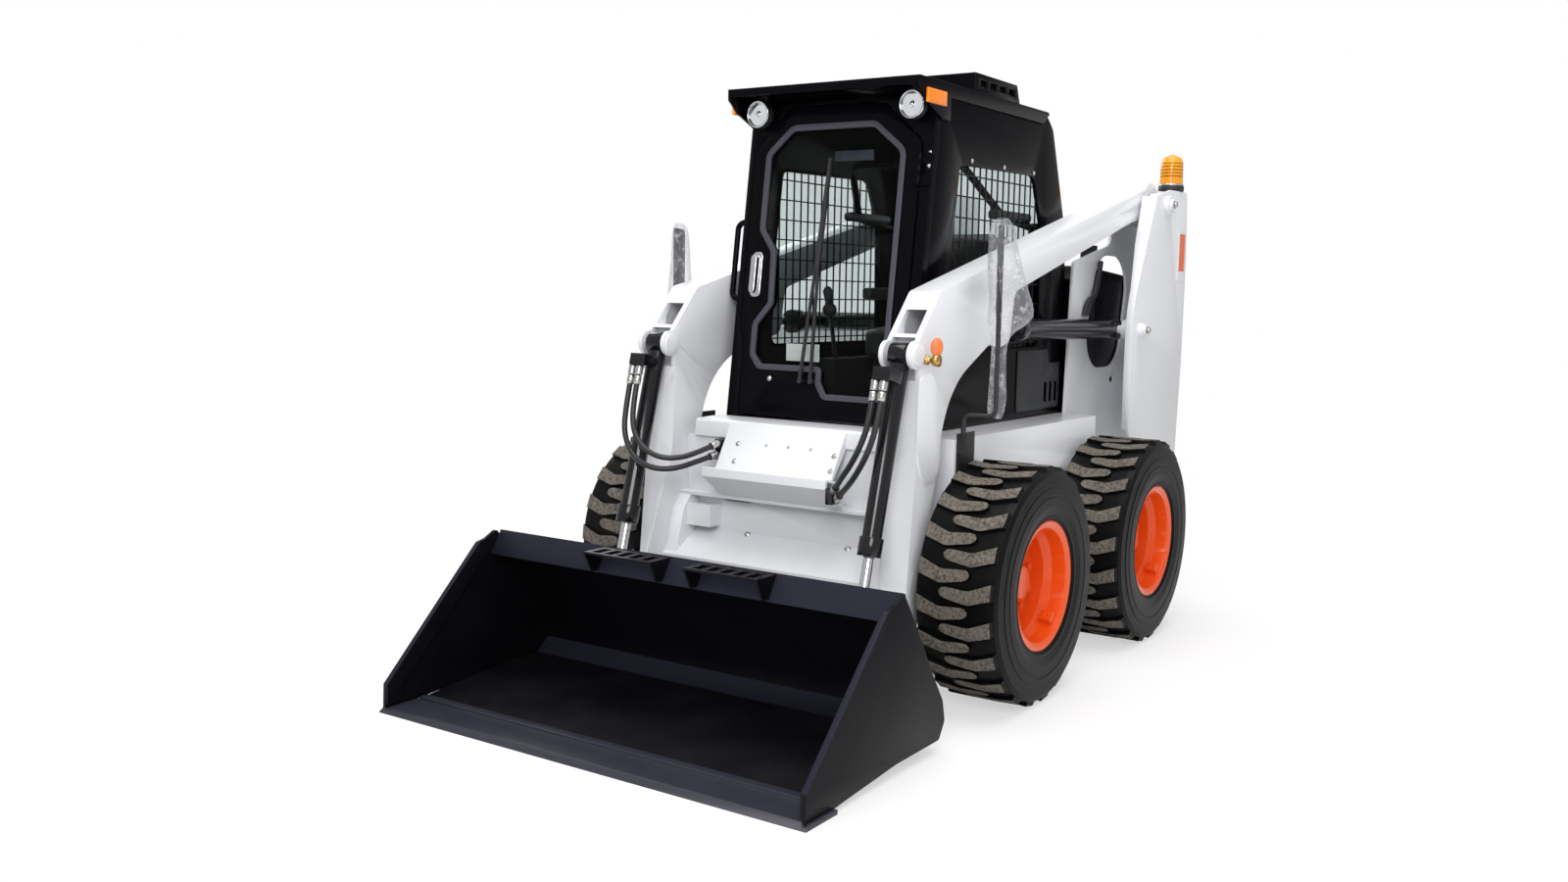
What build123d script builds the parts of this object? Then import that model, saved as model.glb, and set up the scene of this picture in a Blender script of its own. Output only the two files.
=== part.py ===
from build123d import *
import os
from math import hypot, pi, radians, sin, sqrt, tan

# A skid steer loader: four driven wheels on chain cases, a closed cab in the middle, and lift arms
# pivoted on two rear towers that carry a bucket in front.
#
# Millimetres. +Z is up, the machine faces -Y and +X is its left-hand side. Every size along Y is
# drawn from the front axle; store() then moves the machine so that the frame's origin lies on the
# ground in the middle of its length.

# ---------------------------------------------------------------- driving sizes
wheelbase = 1080.0
tip_ahead = 1404.0            # cutting edge ahead of the front axle
tail_behind = 2020.0          # tower plates behind the front axle
front_axle_y = (tip_ahead - tail_behind) / 2

tyre_radius = 415.5
tyre_width = 311.0
rim_radius = 226.0
lug_height = 22.0
lugs_per_row = 21
rim_seat_radius = 206.5
bead_gap = 0.5                # between the tyre's bead and its seat
disc_thickness = 10.0
stud_circle_radius = 101.6
stud_hole_radius = 9.0

tub_half_width = 430.0        # outside of the main frame's walls
tub_front = -185.0
tub_floor = 240.0
plate = 12.0                  # frame plate
case_width = 145.0
case_outer_x = tub_half_width + case_width
case_top = 905.0
case_front = -110.0
case_rear = wheelbase + 92
tyre_gap = 12.0               # between a tyre and its chain case
wheel_x = case_outer_x + tyre_gap + tyre_width / 2
axle_z = tyre_radius

arm_gap = 25.0                # between the main frame and an arm
arm_width = 120.0
arm_inner_x = tub_half_width + arm_gap
arm_outer_x = arm_inner_x + arm_width
arm_plate = 12.0
arm_middle_x = (arm_inner_x + arm_outer_x) / 2
tower_outer_x = arm_outer_x + 75
tower_gap = 5.0

# hinge pins as (y, z)
lift_pin = (1719.0, 1820.0)       # arms on the towers
lift_base_pin = (1445.0, 1265.0)  # lift cylinder on the tower
lift_rod_pin = (245.0, 1280.0)    # lift cylinder on the arm
tilt_base_pin = (-390.0, 1205.0)  # tilt cylinder on the arm
bucket_pin = (-505.0, 195.0)      # bucket hitch on the arm's foot
tilt_rod_pin = (-625.0, 335.0)    # tilt cylinder on the hitch
pin_radius = 19.0
running = 0.2                     # gap between a pin or rod and its bore
lift_pin_radius = 30.0
axle_radius = 38.0

cab_half_width = tub_half_width - 32
cab_wall = 14.0
cab_foot_z = case_top
cab_roof_z = 2145.0
cab_front_foot = (-134.0, 926.0)   # a point on the cab's leaning front face
cab_front_head = (8.0, 1987.0)     # and one above it
front_rise = hypot(cab_front_head[0] - cab_front_foot[0], cab_front_head[1] - cab_front_foot[1])
lean_y = (cab_front_head[0] - cab_front_foot[0]) / front_rise
lean_z = (cab_front_head[1] - cab_front_foot[1]) / front_rise
door_thickness = 36.0
door_gap = 6.0
hinge_x = cab_half_width - 43     # door hinge line, in front of the face
hinge_depth = -9.5
hinge_pin_radius = 5.0
glass_thickness = 6.0

bucket_half_width = 850.0
bucket_side_plate = 12.0


# ---------------------------------------------------------------- helpers
def outline(*corners):
    """A closed face in the sketch plane; each corner is (across, up) or (across, up, radius)."""
    edges = []
    ends = []
    count = len(corners)
    for i in range(count):
        here = Vector(corners[i][0], corners[i][1])
        back = Vector(corners[i - 1][0], corners[i - 1][1]) - here
        ahead = Vector(corners[(i + 1) % count][0], corners[(i + 1) % count][1]) - here
        radius = corners[i][2] if len(corners[i]) > 2 else 0
        if radius == 0:
            ends.append((here, here))
            continue
        half = radians(back.get_angle(ahead)) / 2
        run = radius / tan(half)
        start = here + back.normalized() * run
        stop = here + ahead.normalized() * run
        middle = here + (back.normalized() + ahead.normalized()).normalized() * (radius / sin(half) - radius)
        edges.append(ThreePointArc(start, middle, stop))
        ends.append((start, stop))
    for i in range(count):
        edges.append(Line(ends[i - 1][1], ends[i][0]))
    return make_face(edges)


def across(face, x_low, x_high):
    """Extrude a side profile, drawn as (y, z), from one X to another."""
    return extrude(Plane.YZ.offset(x_low) * face, x_high - x_low, dir=(1, 0, 0))


def along(face, y_low, y_high):
    """Extrude a front profile, drawn as (x, z), from one Y to another."""
    return extrude(Plane.XZ.offset(-y_low) * face, y_high - y_low, dir=(0, 1, 0))


def upward(face, z_low, z_high):
    """Extrude a plan profile, drawn as (x, y), from one Z to another."""
    return extrude(Plane.XY.offset(z_low) * face, z_high - z_low, dir=(0, 0, 1))


def block(x_low, x_high, y_low, y_high, z_low, z_high):
    """A rectangular block between two corners."""
    middle = Pos((x_low + x_high) / 2, (y_low + y_high) / 2, (z_low + z_high) / 2)
    return middle * Box(x_high - x_low, y_high - y_low, z_high - z_low)


def cross_pin(centre, radius, x_low, x_high):
    """A cylinder along X about a (y, z) centre."""
    place = Pos((x_low + x_high) / 2, centre[0], centre[1]) * Rot(0, 90, 0)
    return place * Cylinder(radius, x_high - x_low)


def bar(start, stop, radius):
    """A round bar from one point to another."""
    run = Vector(*stop) - Vector(*start)
    return extrude(Plane(origin=start, z_dir=run) * Circle(radius), run.length, dir=run)


def bent_tube(points, radii, radius):
    """A round tube along straight runs joined by tangent arcs."""
    path = FilletPolyline(*points, radius=radii)
    start = Plane(origin=path @ 0, z_dir=path % 0)
    return sweep(start * Circle(radius), path=path)


def both_sides(solid):
    """A piece and its mirror image on the other side of the machine."""
    return solid + mirror(solid, Plane.YZ)


def store(name, shape):
    """Write one node, moved from the front axle to the frame's origin."""
    os.makedirs("parts", exist_ok=True)
    placed = Pos(0, front_axle_y, 0) * shape
    placed.label = name
    export_step(placed, f"parts/{name}.step")


# ---------------------------------------------------------------- wheels
def tyre():
    """A tyre about X, centred on its own middle: a flat-sided carcass with two rows of hooked lugs."""
    half = tyre_width / 2
    crown = tyre_radius - lug_height
    bead = rim_seat_radius + bead_gap
    section = outline(
        (half - 40, bead),
        (half, bead + 100),
        (half - 9, crown - 10),
        (-half + 9, crown - 10),
        (-half, bead + 100),
        (-half + 40, bead),
        (-half + 30, crown - 40),
        (half - 30, crown - 40),
    )
    # one flat sector for each lug of a row keeps the tread light
    half_sector = pi / lugs_per_row
    reach = 1.5 * tyre_radius
    wedge = Plane.YZ * make_face(Polyline(
        (0, 0), (reach * tan(half_sector), reach), (-reach * tan(half_sector), reach), close=True
    ))
    sector = extrude(Plane.XZ * section, reach * tan(half_sector), both=True)
    sector &= extrude(wedge, tyre_width, both=True)
    pitch = 360 / lugs_per_row
    lug_half_reach = 50.0
    lug = outline(
        (half - 11, lug_half_reach),
        (half - 11, 4),
        (44, -lug_half_reach),
        (-50, -36),
        (-50, -4),
        (44, -8),
    )
    lug_top = sqrt(tyre_radius**2 - lug_half_reach**2)
    sunk = 18.0
    left_lug = extrude(Plane.XY.offset(crown - sunk) * lug, lug_top - crown + sunk, dir=(0, 0, 1))
    right_lug = Rot(pitch / 2, 0, 0) * mirror(left_lug, Plane.YZ)
    sectors = []
    lugs = []
    for i in range(lugs_per_row):
        sectors.append(Rot(i * pitch, 0, 0) * sector)
        lugs.append(Rot(i * pitch, 0, 0) * left_lug)
        lugs.append(Rot(i * pitch, 0, 0) * right_lug)
    carcass = sectors[0].fuse(*sectors[1:])
    return carcass.fuse(*lugs)


def rim():
    """A deep-dish rim with its disc and hub, about X, with the dish towards +X."""
    half = 140.0
    barrel = outline(
        (-half, rim_radius),
        (-half + 8, rim_radius),
        (-half + 14, rim_seat_radius),
        (-76, rim_seat_radius - 2),
        (-52, rim_seat_radius - 24),
        (52, rim_seat_radius - 24),
        (76, rim_seat_radius - 2),
        (half - 14, rim_seat_radius),
        (half - 8, rim_radius),
        (half, rim_radius),
        (half, rim_radius - 6),
        (half - 8, rim_seat_radius - 8),
        (80, rim_seat_radius - 10),
        (56, rim_seat_radius - 32),
        (-56, rim_seat_radius - 32),
        (-80, rim_seat_radius - 10),
        (-half + 8, rim_seat_radius - 8),
        (-half, rim_radius - 6),
    )
    disc = outline(
        (0, rim_seat_radius - 31),
        (disc_thickness, rim_seat_radius - 31),
        (disc_thickness, 130),
        (disc_thickness + 14, 118),
        (disc_thickness + 14, 76),
        (14, 76),
        (14, 114),
        (0, 126),
    )
    hub = outline(
        (-hub_reach, axle_radius + running),
        (-hub_reach, 92),
        (-24, 92),
        (-24, 118),
        (14, 118),
        (14, 62),
        (58, 62, 10),
        (58, 0),
        (10, 0),
        (10, axle_radius + running),
    )
    wheel = revolve(barrel, Axis.X, 360) + revolve(disc, Axis.X, 360) + revolve(hub, Axis.X, 360)
    for i in range(8):
        place = Rot(i * 45 + 22.5, 0, 0) * Pos(disc_thickness + 14, 0, stud_circle_radius) * Rot(0, 90, 0)
        wheel += place * extrude(RegularPolygon(14, 6), 16)
    return wheel


hub_reach = wheel_x - case_outer_x - 82
wheel_seats = [
    # name, side, y
    ("front_left", 1, 0.0),
    ("front_right", -1, 0.0),
    ("rear_left", 1, wheelbase),
    ("rear_right", -1, wheelbase),
]
tyre_solid = tyre()
rim_solid = rim()
for name, side, y in wheel_seats:
    tyre_here = tyre_solid if side > 0 else mirror(tyre_solid, Plane.YZ)
    rim_here = rim_solid if side > 0 else mirror(rim_solid, Plane.YZ)
    store(f"tyre_{name}", Pos(side * wheel_x, y, axle_z) * tyre_here)
    store(f"rim_{name}", Pos(side * wheel_x, y, axle_z) * rim_here)

# ---------------------------------------------------------------- main frame
tub_rear = tail_behind - 70
tub_outside = outline(
    (tub_front, case_top),
    (tub_front, tub_floor + 60, 40),
    (tub_front + 110, tub_floor, 40),
    (tub_rear - 160, tub_floor, 60),
    (tub_rear, tub_floor + 200, 40),
    (tub_rear, case_top),
)
tub = across(tub_outside, -tub_half_width, tub_half_width)
tub_inside = outline(
    (tub_front + plate, case_top + 50),
    (tub_front + plate, tub_floor + 60 + plate, 30),
    (tub_front + 110 + plate, tub_floor + plate, 30),
    (tub_rear - 165, tub_floor + plate, 50),
    (tub_rear - plate, tub_floor + 204, 30),
    (tub_rear - plate, case_top + 50),
)
tub -= across(tub_inside, -tub_half_width + plate, tub_half_width - plate)
# flange that carries the cab
cab_seat_width = 50.0
cab_seat_rear = 1250.0
cab_seat = block(tub_half_width - cab_seat_width, tub_half_width, tub_front, cab_seat_rear, case_top - plate, case_top)
tub += both_sides(cab_seat)
tub += block(-tub_half_width, tub_half_width, tub_front, -90, case_top - plate, case_top)
tow_plate_z = tub_floor + 150
tow_eye_radius = 16.0
tow_plate = upward(
    outline(
        (-90, tub_rear - 130),
        (-90, tub_rear + 10),
        (-50, tub_rear + 62, 30),
        (50, tub_rear + 62, 30),
        (90, tub_rear + 10),
        (90, tub_rear - 130),
    ),
    tow_plate_z,
    tow_plate_z + 20,
)
tow_eye = Pos(0, tub_rear + 26, tow_plate_z + 10) * Cylinder(tow_eye_radius, 60)
main_frame = tub + tow_plate - tow_eye
store("main_frame", main_frame)

# chain cases: hollow boxes on the frame's walls, each with the two axle housings
case_profile = outline(
    (case_front, case_top),
    (case_front, tub_floor + 60, 60),
    (case_front + 120, tub_floor, 60),
    (wheelbase + 160, tub_floor, 60),
    (wheelbase + 200, tub_floor + 120, 40),
    (wheelbase + 200, case_top - 260, 60),
    (case_rear, case_top - 180, 40),
    (case_rear, case_top),
)
case_hollow = outline(
    (case_front + 8, case_top - 8),
    (case_front + 8, tub_floor + 68),
    (case_front + 124, tub_floor + 8),
    (wheelbase + 156, tub_floor + 8),
    (wheelbase + 192, tub_floor + 124),
    (wheelbase + 192, case_top - 268),
    (case_rear - 8, case_top - 188),
    (case_rear - 8, case_top - 8),
)
chain_case = across(case_profile, tub_half_width, case_outer_x)
chain_case -= across(case_hollow, tub_half_width - 1, case_outer_x - 8)
for y in (0.0, wheelbase):
    chain_case += cross_pin((y, axle_z), 105, case_outer_x - 8, case_outer_x + 10)
    chain_case += cross_pin((y, axle_z), 80, case_outer_x, case_outer_x + 76)
    chain_case += cross_pin((y, axle_z), axle_radius, case_outer_x, wheel_x)
store("chain_cases", both_sides(chain_case))

# ---------------------------------------------------------------- rear towers
beacon_foot = lift_pin[1] + 72
inner_tower_profile = outline(
    (1150, case_top),
    (1186, 1552, 20),
    (1600, 1640, 60),
    (lift_pin[0] - 105, lift_pin[1] + 40, 60),
    (lift_pin[0], lift_pin[1] + 70, 60),
    (tail_behind - 30, lift_pin[1] + 64, 20),
    (tail_behind - 30, 560, 40),
    (wheelbase + 210, 560),
    (wheelbase + 210, 700, 40),
    (case_rear + 4, case_top),
)
inner_tower = across(inner_tower_profile, tub_half_width, tub_half_width + plate)
opening = outline((1310, 1090, 150), (1745, 1090, 150), (1845, 1590, 150), (1450, 1590, 150))
inner_tower -= across(opening, 0, tower_outer_x)
inner_tower -= cross_pin((1690, 1035), 13, 0, tower_outer_x)
outer_tower_profile = outline(
    (1500, 640, 30),
    (1440, 690, 60),
    (1361, 834),
    (1354, 1085),
    (1356, 1360, 500),
    (1590, 1851),
    (1766, lift_pin[1] + 69, 40),
    (tail_behind - 28, beacon_foot, 25),
    (tail_behind, 1600, 300),
    (tail_behind, 1100, 300),
    (tail_behind - 30, 640, 60),
)
outer_tower = across(outer_tower_profile, tower_outer_x - plate, tower_outer_x)
flange_outside = outline(
    (1361, 834),
    (1354, 1085),
    (1356, 1360, 500),
    (1590, 1851),
    (1602, 1851),
    (1368, 1360, 488),
    (1366, 1085),
    (1373, 834),
)
flange_width = outline(
    (tower_outer_x, 800),
    (tower_outer_x - 30, 800),
    (tower_outer_x - 30, 1440),
    (tower_outer_x - 54, 1640),
    (tower_outer_x - 67, 1860),
    (tower_outer_x, 1860),
)
flange = across(flange_outside, arm_outer_x + 6, tower_outer_x - plate) & along(flange_width, 1300, 1700)
between = (tub_half_width + plate, tower_outer_x - plate)
rear_wall = block(*between, tail_behind - 42, tail_behind - 30, 660, beacon_foot - 2)
tower_cap = block(*between, lift_pin[0] + 140, tail_behind - 36, beacon_foot - plate, beacon_foot)
tower = inner_tower + outer_tower + flange + rear_wall + tower_cap
for pin, reach in ((lift_pin, 40), (lift_base_pin, 32)):
    tower += cross_pin(pin, reach, tower_outer_x, tower_outer_x + 22)
    tower += cross_pin(pin, reach + 12, arm_outer_x + tower_gap, tower_outer_x - plate)
    tower += cross_pin(pin, pin_radius + 6, tower_outer_x + 22, tower_outer_x + 34)
tower += cross_pin(lift_pin, 60, tub_half_width, arm_inner_x - tower_gap)
tower += cross_pin(lift_pin, lift_pin_radius, tub_half_width, tower_outer_x)
tower += cross_pin(lift_base_pin, pin_radius, arm_middle_x - 46, tower_outer_x)
store("tower_left", tower)
store("tower_right", mirror(tower, Plane.YZ))

# engine, hood and tail door between the towers
engine_block = block(-230, 230, 1290, 1735, tub_floor + plate, 960)
store("engine", engine_block)
hood_profile = outline(
    (1250, case_top),
    (1250, 1480, 30),
    (1330, 1540, 60),
    (tail_behind - 120, 1500, 80),
    (tail_behind - 74, 1380),
    (tail_behind - 74, case_top),
)
hood_inside = outline(
    (1258, case_top - 20),
    (1258, 1475, 22),
    (1332, 1532, 52),
    (tail_behind - 126, 1492, 72),
    (tail_behind - 82, 1380),
    (tail_behind - 82, case_top - 20),
)
hood = across(hood_profile, -tub_half_width + 4, tub_half_width - 4)
hood -= across(hood_inside, -tub_half_width + 12, tub_half_width - 12)
for i in range(9):
    hood -= block(-250, 250, 1330 + i * 60, 1360 + i * 60, 1400, 1600)
store("hood", hood)
tail_half = tub_half_width - 30
tail_door_profile = outline(
    (-tail_half, 470, 30),
    (tail_half, 470, 30),
    (tail_half, 1370, 60),
    (-tail_half, 1370, 60),
)
tail_door = along(tail_door_profile, tub_rear, tail_behind - 36)
for i in range(10):
    tail_door -= block(-290, 290, tail_behind - 80, tail_behind - 20, 700 + i * 52, 728 + i * 52)
store("tail_door", tail_door)

# ---------------------------------------------------------------- lift arms
def boom_z(y):
    """Height of the boom's top edge."""
    return 1857 + 0.25 * (y - 1538)


arm_front_y = -240.0
arm_outline = outline(
    (1700, boom_z(1700)),
    (arm_front_y, boom_z(arm_front_y), 40),
    (tilt_base_pin[0] + 4, tilt_base_pin[1] + 42, 20),
    (-370, 1120, 60),
    (-376, 900),
    (-421, 430, 200),
    (-440, 330),
    (-545, 235, 30),
    (-520, 150, 20),
    (-380, 176, 120),
    (-334, 325),
    (-266, 683),
    (-172, 1081, 330),
    (137, 1231, 40),
    (215, 1215, 30),
    (300, 1235, 40),
    (330, 1417, 50),
    (1494, 1732),
    (1730, 1778),
)
arm_ears = Pos(*tilt_base_pin) * Circle(46) + Pos(*bucket_pin) * Circle(50) + Pos(*lift_pin) * Circle(98)
arm_face = arm_outline + arm_ears
arm = across(arm_face, arm_inner_x, arm_outer_x)
# the boom and leg are boxes of plate: the pocket is open where the lift cylinder enters
boom_pocket = outline(
    (1580, boom_z(1580) - arm_plate),
    (arm_front_y + 10, boom_z(arm_front_y + 10) - arm_plate - 4),
    (-300, 1300),
    (-300, 1130),
    (-100, 1130),
    (180, 1260),
    (180, 1150),
    (420, 1150),
    (420, 1455),
    (1500, 1746),
)
arm -= across(boom_pocket, arm_inner_x + arm_plate, arm_outer_x - arm_plate)
leg_pocket = outline(
    (-350, 1060),
    (-362, 900),
    (-406, 440),
    (-424, 330),
    (-352, 345),
    (-282, 690),
    (-220, 940),
    (-180, 1060),
)
arm -= across(leg_pocket, arm_inner_x + arm_plate, arm_outer_x - arm_plate)
# room for the tilt cylinder's head between the ears, with the window above it
head_room = outline((-450, 1120), (-340, 1120), (-340, 1262), (-450, 1262))
arm -= across(head_room, arm_middle_x - 44, arm_middle_x + 44)
window = outline((-420, 1272), (-260, 1272), (-260, 1352), (-420, 1352))
arm -= across(window, arm_middle_x - 40, arm_middle_x + 40)
# doubler on the outer face below the ear, and the guard edge of the inner plate
doubler = outline(
    (-378, 1120, 30),
    (-383, 860, 200),
    (-320, 765, 60),
    (-240, 790, 60),
    (-221, 880, 200),
    (-280, 1180, 60),
)
arm += across(doubler, arm_outer_x, arm_outer_x + 6)
guard = outline((-371, 1090), (-374, 844), (-523, 443, 10), (-523, 330, 40), (-421, 300), (-370, 500))
arm += across(guard, arm_inner_x, arm_inner_x + arm_plate)
for pin, reach in ((tilt_base_pin, 30), (bucket_pin, 0)):
    if reach:
        arm += cross_pin(pin, reach + 6, arm_outer_x, arm_outer_x + 10)
        arm += cross_pin(pin, reach + 6, arm_inner_x - 6, arm_inner_x)
arm += cross_pin(lift_rod_pin, pin_radius + 14, arm_inner_x + arm_plate, arm_middle_x - 34)
arm += cross_pin(lift_rod_pin, pin_radius + 14, arm_middle_x + 34, arm_outer_x - arm_plate)
arm += cross_pin(lift_rod_pin, pin_radius, arm_outer_x, arm_outer_x + 8)
arm += cross_pin(tilt_base_pin, pin_radius, arm_middle_x - 44, arm_middle_x + 44)
arm_pin_bore = cross_pin(bucket_pin, pin_radius + 6, arm_inner_x - 1, arm_outer_x + 1)
arm -= arm_pin_bore
arm -= cross_pin(lift_pin, lift_pin_radius + running, arm_inner_x - 1, arm_outer_x + 1)
store("arm_left", arm)
store("arm_right", mirror(arm, Plane.YZ))

# cross-member between the arms' legs: a box beam above, a plate and an apron below
beam_front = -285.0
beam_rear = -225.0
beam_foot = 657.0
beam_head = 862.0
beam_plate = 12.0
beam_hollow = 10.0            # the beam is open behind; this is its front wall and flanges
cross_beam = block(-arm_inner_x, arm_inner_x, beam_front, beam_rear, beam_foot, beam_head)
cross_beam -= block(
    -arm_inner_x + 60,
    arm_inner_x - 60,
    beam_front + beam_hollow,
    beam_rear - beam_hollow,
    beam_foot + beam_hollow,
    beam_head - beam_hollow,
)
lip_z = beam_foot - beam_plate
lip = block(-arm_inner_x, arm_inner_x, -333, beam_rear, lip_z, beam_foot)
lower_face = outline((-300, 400), (-288, 400), (-264, lip_z), (-276, lip_z))
lower_plate = across(lower_face, -arm_inner_x, arm_inner_x)
lower_plate -= along(outline((-290, 628, 7), (-165, 628, 7), (-165, 643, 7), (-290, 643, 7)), -400, -200)
apron_face = outline((-436, 380), (-424, 380), (-420, 424), (-290, 500), (-290, 520), (-432, 434))
apron = across(apron_face, -arm_inner_x, arm_inner_x)
gusset_profile = outline((-421, 424), (-290, 500), (-276, lip_z), (-333, lip_z), (-372, 600))
gusset = across(gusset_profile, arm_inner_x - 50, arm_inner_x)
hatch = block(-423, -300, -352, -280, 535, 615) - block(-411, -312, -340, -270, 545, 605)
cross_member = cross_beam + lip + lower_plate + apron + both_sides(gusset) + hatch
store("cross_member", cross_member)

# cover on the cross-member: ledge, panel and step, folded from plate
cover_front = -300.0
cover_half = 250.0
ledge_half = arm_inner_x - 40
ledge_top = beam_head + 66
ledge = outline(
    (cover_front, beam_head, 6),
    (cover_front + 8, ledge_top, 14),
    (-150, ledge_top + 3),
    (-150, ledge_top - 7),
    (cover_front + 16, ledge_top - 11),
    (cover_front + 9, beam_head + 10),
    (-240, beam_head + 10),
    (-240, beam_head),
)
cover = across(ledge, -ledge_half, ledge_half)
panel = outline((cover_front + 4, ledge_top - 4), (-388, 762), (-378, 757), (cover_front + 9, beam_head + 4))
step_low = beam_foot + 12
step = outline(
    (-384, 762),
    (-444, 774, 4),
    (-446, 740),
    (-331, beam_foot),
    (cover_front, beam_foot),
    (cover_front, step_low),
    (-328, step_low),
    (-436, 744),
    (-436, 764),
    (-381, 752),
)
cover += across(panel, -cover_half, cover_half)
cover += across(step, -cover_half - 15, cover_half + 15)
store("step_cover", cover)

# ---------------------------------------------------------------- cylinders
def unit(start, stop):
    """Length and direction between two (y, z) pins."""
    run = (stop[0] - start[0], stop[1] - start[1])
    length = hypot(*run)
    return length, run[0] / length, run[1] / length


on_axis = (Align.CENTER, Align.CENTER, Align.MIN)


def cylinder_barrel(x, base, rod_end, size):
    """A barrel about the line of its two pins, with a base eye, a cap and a gland."""
    length, uy, uz = unit(base, rod_end)
    place = Plane(origin=(x, base[0], base[1]), x_dir=(1, 0, 0), z_dir=(0, uy, uz))
    tube_start = size["eye"] - 6
    tube = Cylinder(size["barrel"], size["barrel_length"] - tube_start, align=on_axis)
    gland = Cylinder(size["barrel"] + 7, gland_length, align=on_axis)
    bore = Cylinder(size["rod"] + running, size["barrel_length"], align=on_axis)
    barrel = Pos(0, 0, tube_start) * tube + Pos(0, 0, size["barrel_length"] - gland_length) * gland
    barrel += Rot(0, 90, 0) * Cylinder(size["eye"], size["eye_width"])
    barrel -= Pos(0, 0, size["eye"] + 14) * bore
    barrel -= Rot(0, 90, 0) * Cylinder(pin_radius + running, size["eye_width"] + 2)
    return place * barrel


def cylinder_rod(x, base, rod_end, size):
    """A rod on the same line, with an eye round its pin."""
    length, uy, uz = unit(base, rod_end)
    place = Plane(origin=(x, rod_end[0], rod_end[1]), x_dir=(1, 0, 0), z_dir=(0, -uy, -uz))
    rod = Cylinder(size["rod"], size["rod_length"], align=on_axis)
    rod += Rot(0, 90, 0) * Cylinder(size["rod_eye"], size["rod_eye_width"])
    rod -= Rot(0, 90, 0) * Cylinder(pin_radius + running, size["rod_eye_width"] + 2)
    return place * rod


gland_length = 62.0
tilt_cylinder = {
    "barrel": 33.0,
    "barrel_length": 668.0,
    "eye": 40.0,
    "eye_width": 60.0,
    "rod": 18.0,
    "rod_length": 600.0,
    "rod_eye": 34.0,
    "rod_eye_width": 50.0,
}
lift_cylinder = {
    "barrel": 42.0,
    "barrel_length": 985.0,
    "eye": 44.0,
    "eye_width": 80.0,
    "rod": 25.0,
    "rod_length": 1090.0,
    "rod_eye": 38.0,
    "rod_eye_width": 56.0,
}
port_low = 104.0              # valve block's lower face, below the tilt cylinder's pin
port_end = 140.0              # end of its two hose ferrules
port_offsets = (-32.0, 0.0)
port_forward = 80.0
ferrule_radius = 13.0
for name, side in (("left", 1), ("right", -1)):
    x = side * arm_middle_x
    tilt_barrel = cylinder_barrel(x, tilt_base_pin, tilt_rod_pin, tilt_cylinder)
    length, uy, uz = unit(tilt_base_pin, tilt_rod_pin)
    ports = Plane(origin=(x, tilt_base_pin[0], tilt_base_pin[1]), x_dir=(1, 0, 0), z_dir=(0, uy, uz))
    # valve block under the head, on the front of the barrel; the plane's Y points forward here
    tilt_barrel += ports * block(-38, 30, 20, 98, 62, port_low)
    for offset_x in port_offsets:
        ferrule = Cylinder(ferrule_radius, port_end - port_low, align=on_axis)
        tilt_barrel += ports * Pos(offset_x, port_forward, port_low) * ferrule
    store(f"tilt_barrel_{name}", tilt_barrel)
    store(f"tilt_rod_{name}", cylinder_rod(x, tilt_base_pin, tilt_rod_pin, tilt_cylinder))
    store(f"lift_barrel_{name}", cylinder_barrel(x, lift_base_pin, lift_rod_pin, lift_cylinder))
    store(f"lift_rod_{name}", cylinder_rod(x, lift_base_pin, lift_rod_pin, lift_cylinder))

# ---------------------------------------------------------------- cab
# faces on the leaning front are drawn as (x, distance up the face) and pushed along its normal
front_plane = Plane(origin=(0, *cab_front_foot), x_dir=(1, 0, 0), z_dir=(0, -lean_z, lean_y))


def on_front(face, depth_low, depth_high):
    """Extrude a face drawn on the leaning front, from one depth behind it to another."""
    return extrude(front_plane.offset(-depth_high) * face, depth_high - depth_low)


def front_point(rise, depth):
    """The (y, z) of a point up the leaning front and behind it."""
    y = cab_front_foot[0] + lean_y * rise + lean_z * depth
    z = cab_front_foot[1] + lean_z * rise - lean_y * depth
    return (y, z)


front_frame_near = 4.0
front_frame_far = 40.0
post_head = (cab_roof_z - 41 - cab_front_foot[1]) / lean_z
door_side = cab_half_width - 46
door_head = post_head - 18
door_outline = outline(
    (-door_side + 8, 13, 30),
    (-door_side + 8, 300, 60),
    (-door_side - 14, 340, 60),
    (-door_side - 17, door_head - 160, 60),
    (-door_side + 126, door_head, 60),
    (door_side - 171, door_head - 3, 60),
    (door_side, door_head - 150, 60),
    (door_side, 13, 30),
)
window_side = cab_half_width - 97
window_head = post_head - 98
window_outline = outline(
    (-window_side, window_head - 377, 30),
    (-window_side, window_head - 95, 40),
    (-window_side + 101, window_head, 50),
    (window_side - 147, window_head, 50),
    (window_side - 20, window_head - 100, 50),
    (window_side - 17, 99, 40),
    (42, 99, 20),
    (10, 147, 20),
    (10, 198, 15),
    (-window_side + 41, 198, 20),
    (-window_side + 6, 240, 30),
    (-window_side + 6, 356, 30),
    (-window_side + 69, 433, 30),
    (-window_side + 61, 631, 30),
)
post_foot = (cab_foot_z - cab_front_foot[1]) / lean_z
front_outline = outline(
    (-cab_half_width, post_foot + 4),
    (cab_half_width, post_foot + 4),
    (cab_half_width, post_head),
    (-cab_half_width, post_head),
)
cab_front = on_front(front_outline - offset(door_outline, door_gap), front_frame_near, front_frame_far)
cab_front &= block(-cab_half_width, cab_half_width, -400, 400, cab_foot_z, cab_roof_z - cab_wall)
hinge_rises = (140.0, post_head - 288)
knuckle = 40.0
knuckle_gap = 0.5
leaf_width = 38.0


def hinge_bar(radius, rise_low, rise_high):
    """A cylinder about the door's hinge line between two distances up the front."""
    low = (hinge_x, *front_point(rise_low, hinge_depth))
    high = (hinge_x, *front_point(rise_high, hinge_depth))
    return bar(low, high, radius)


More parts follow.
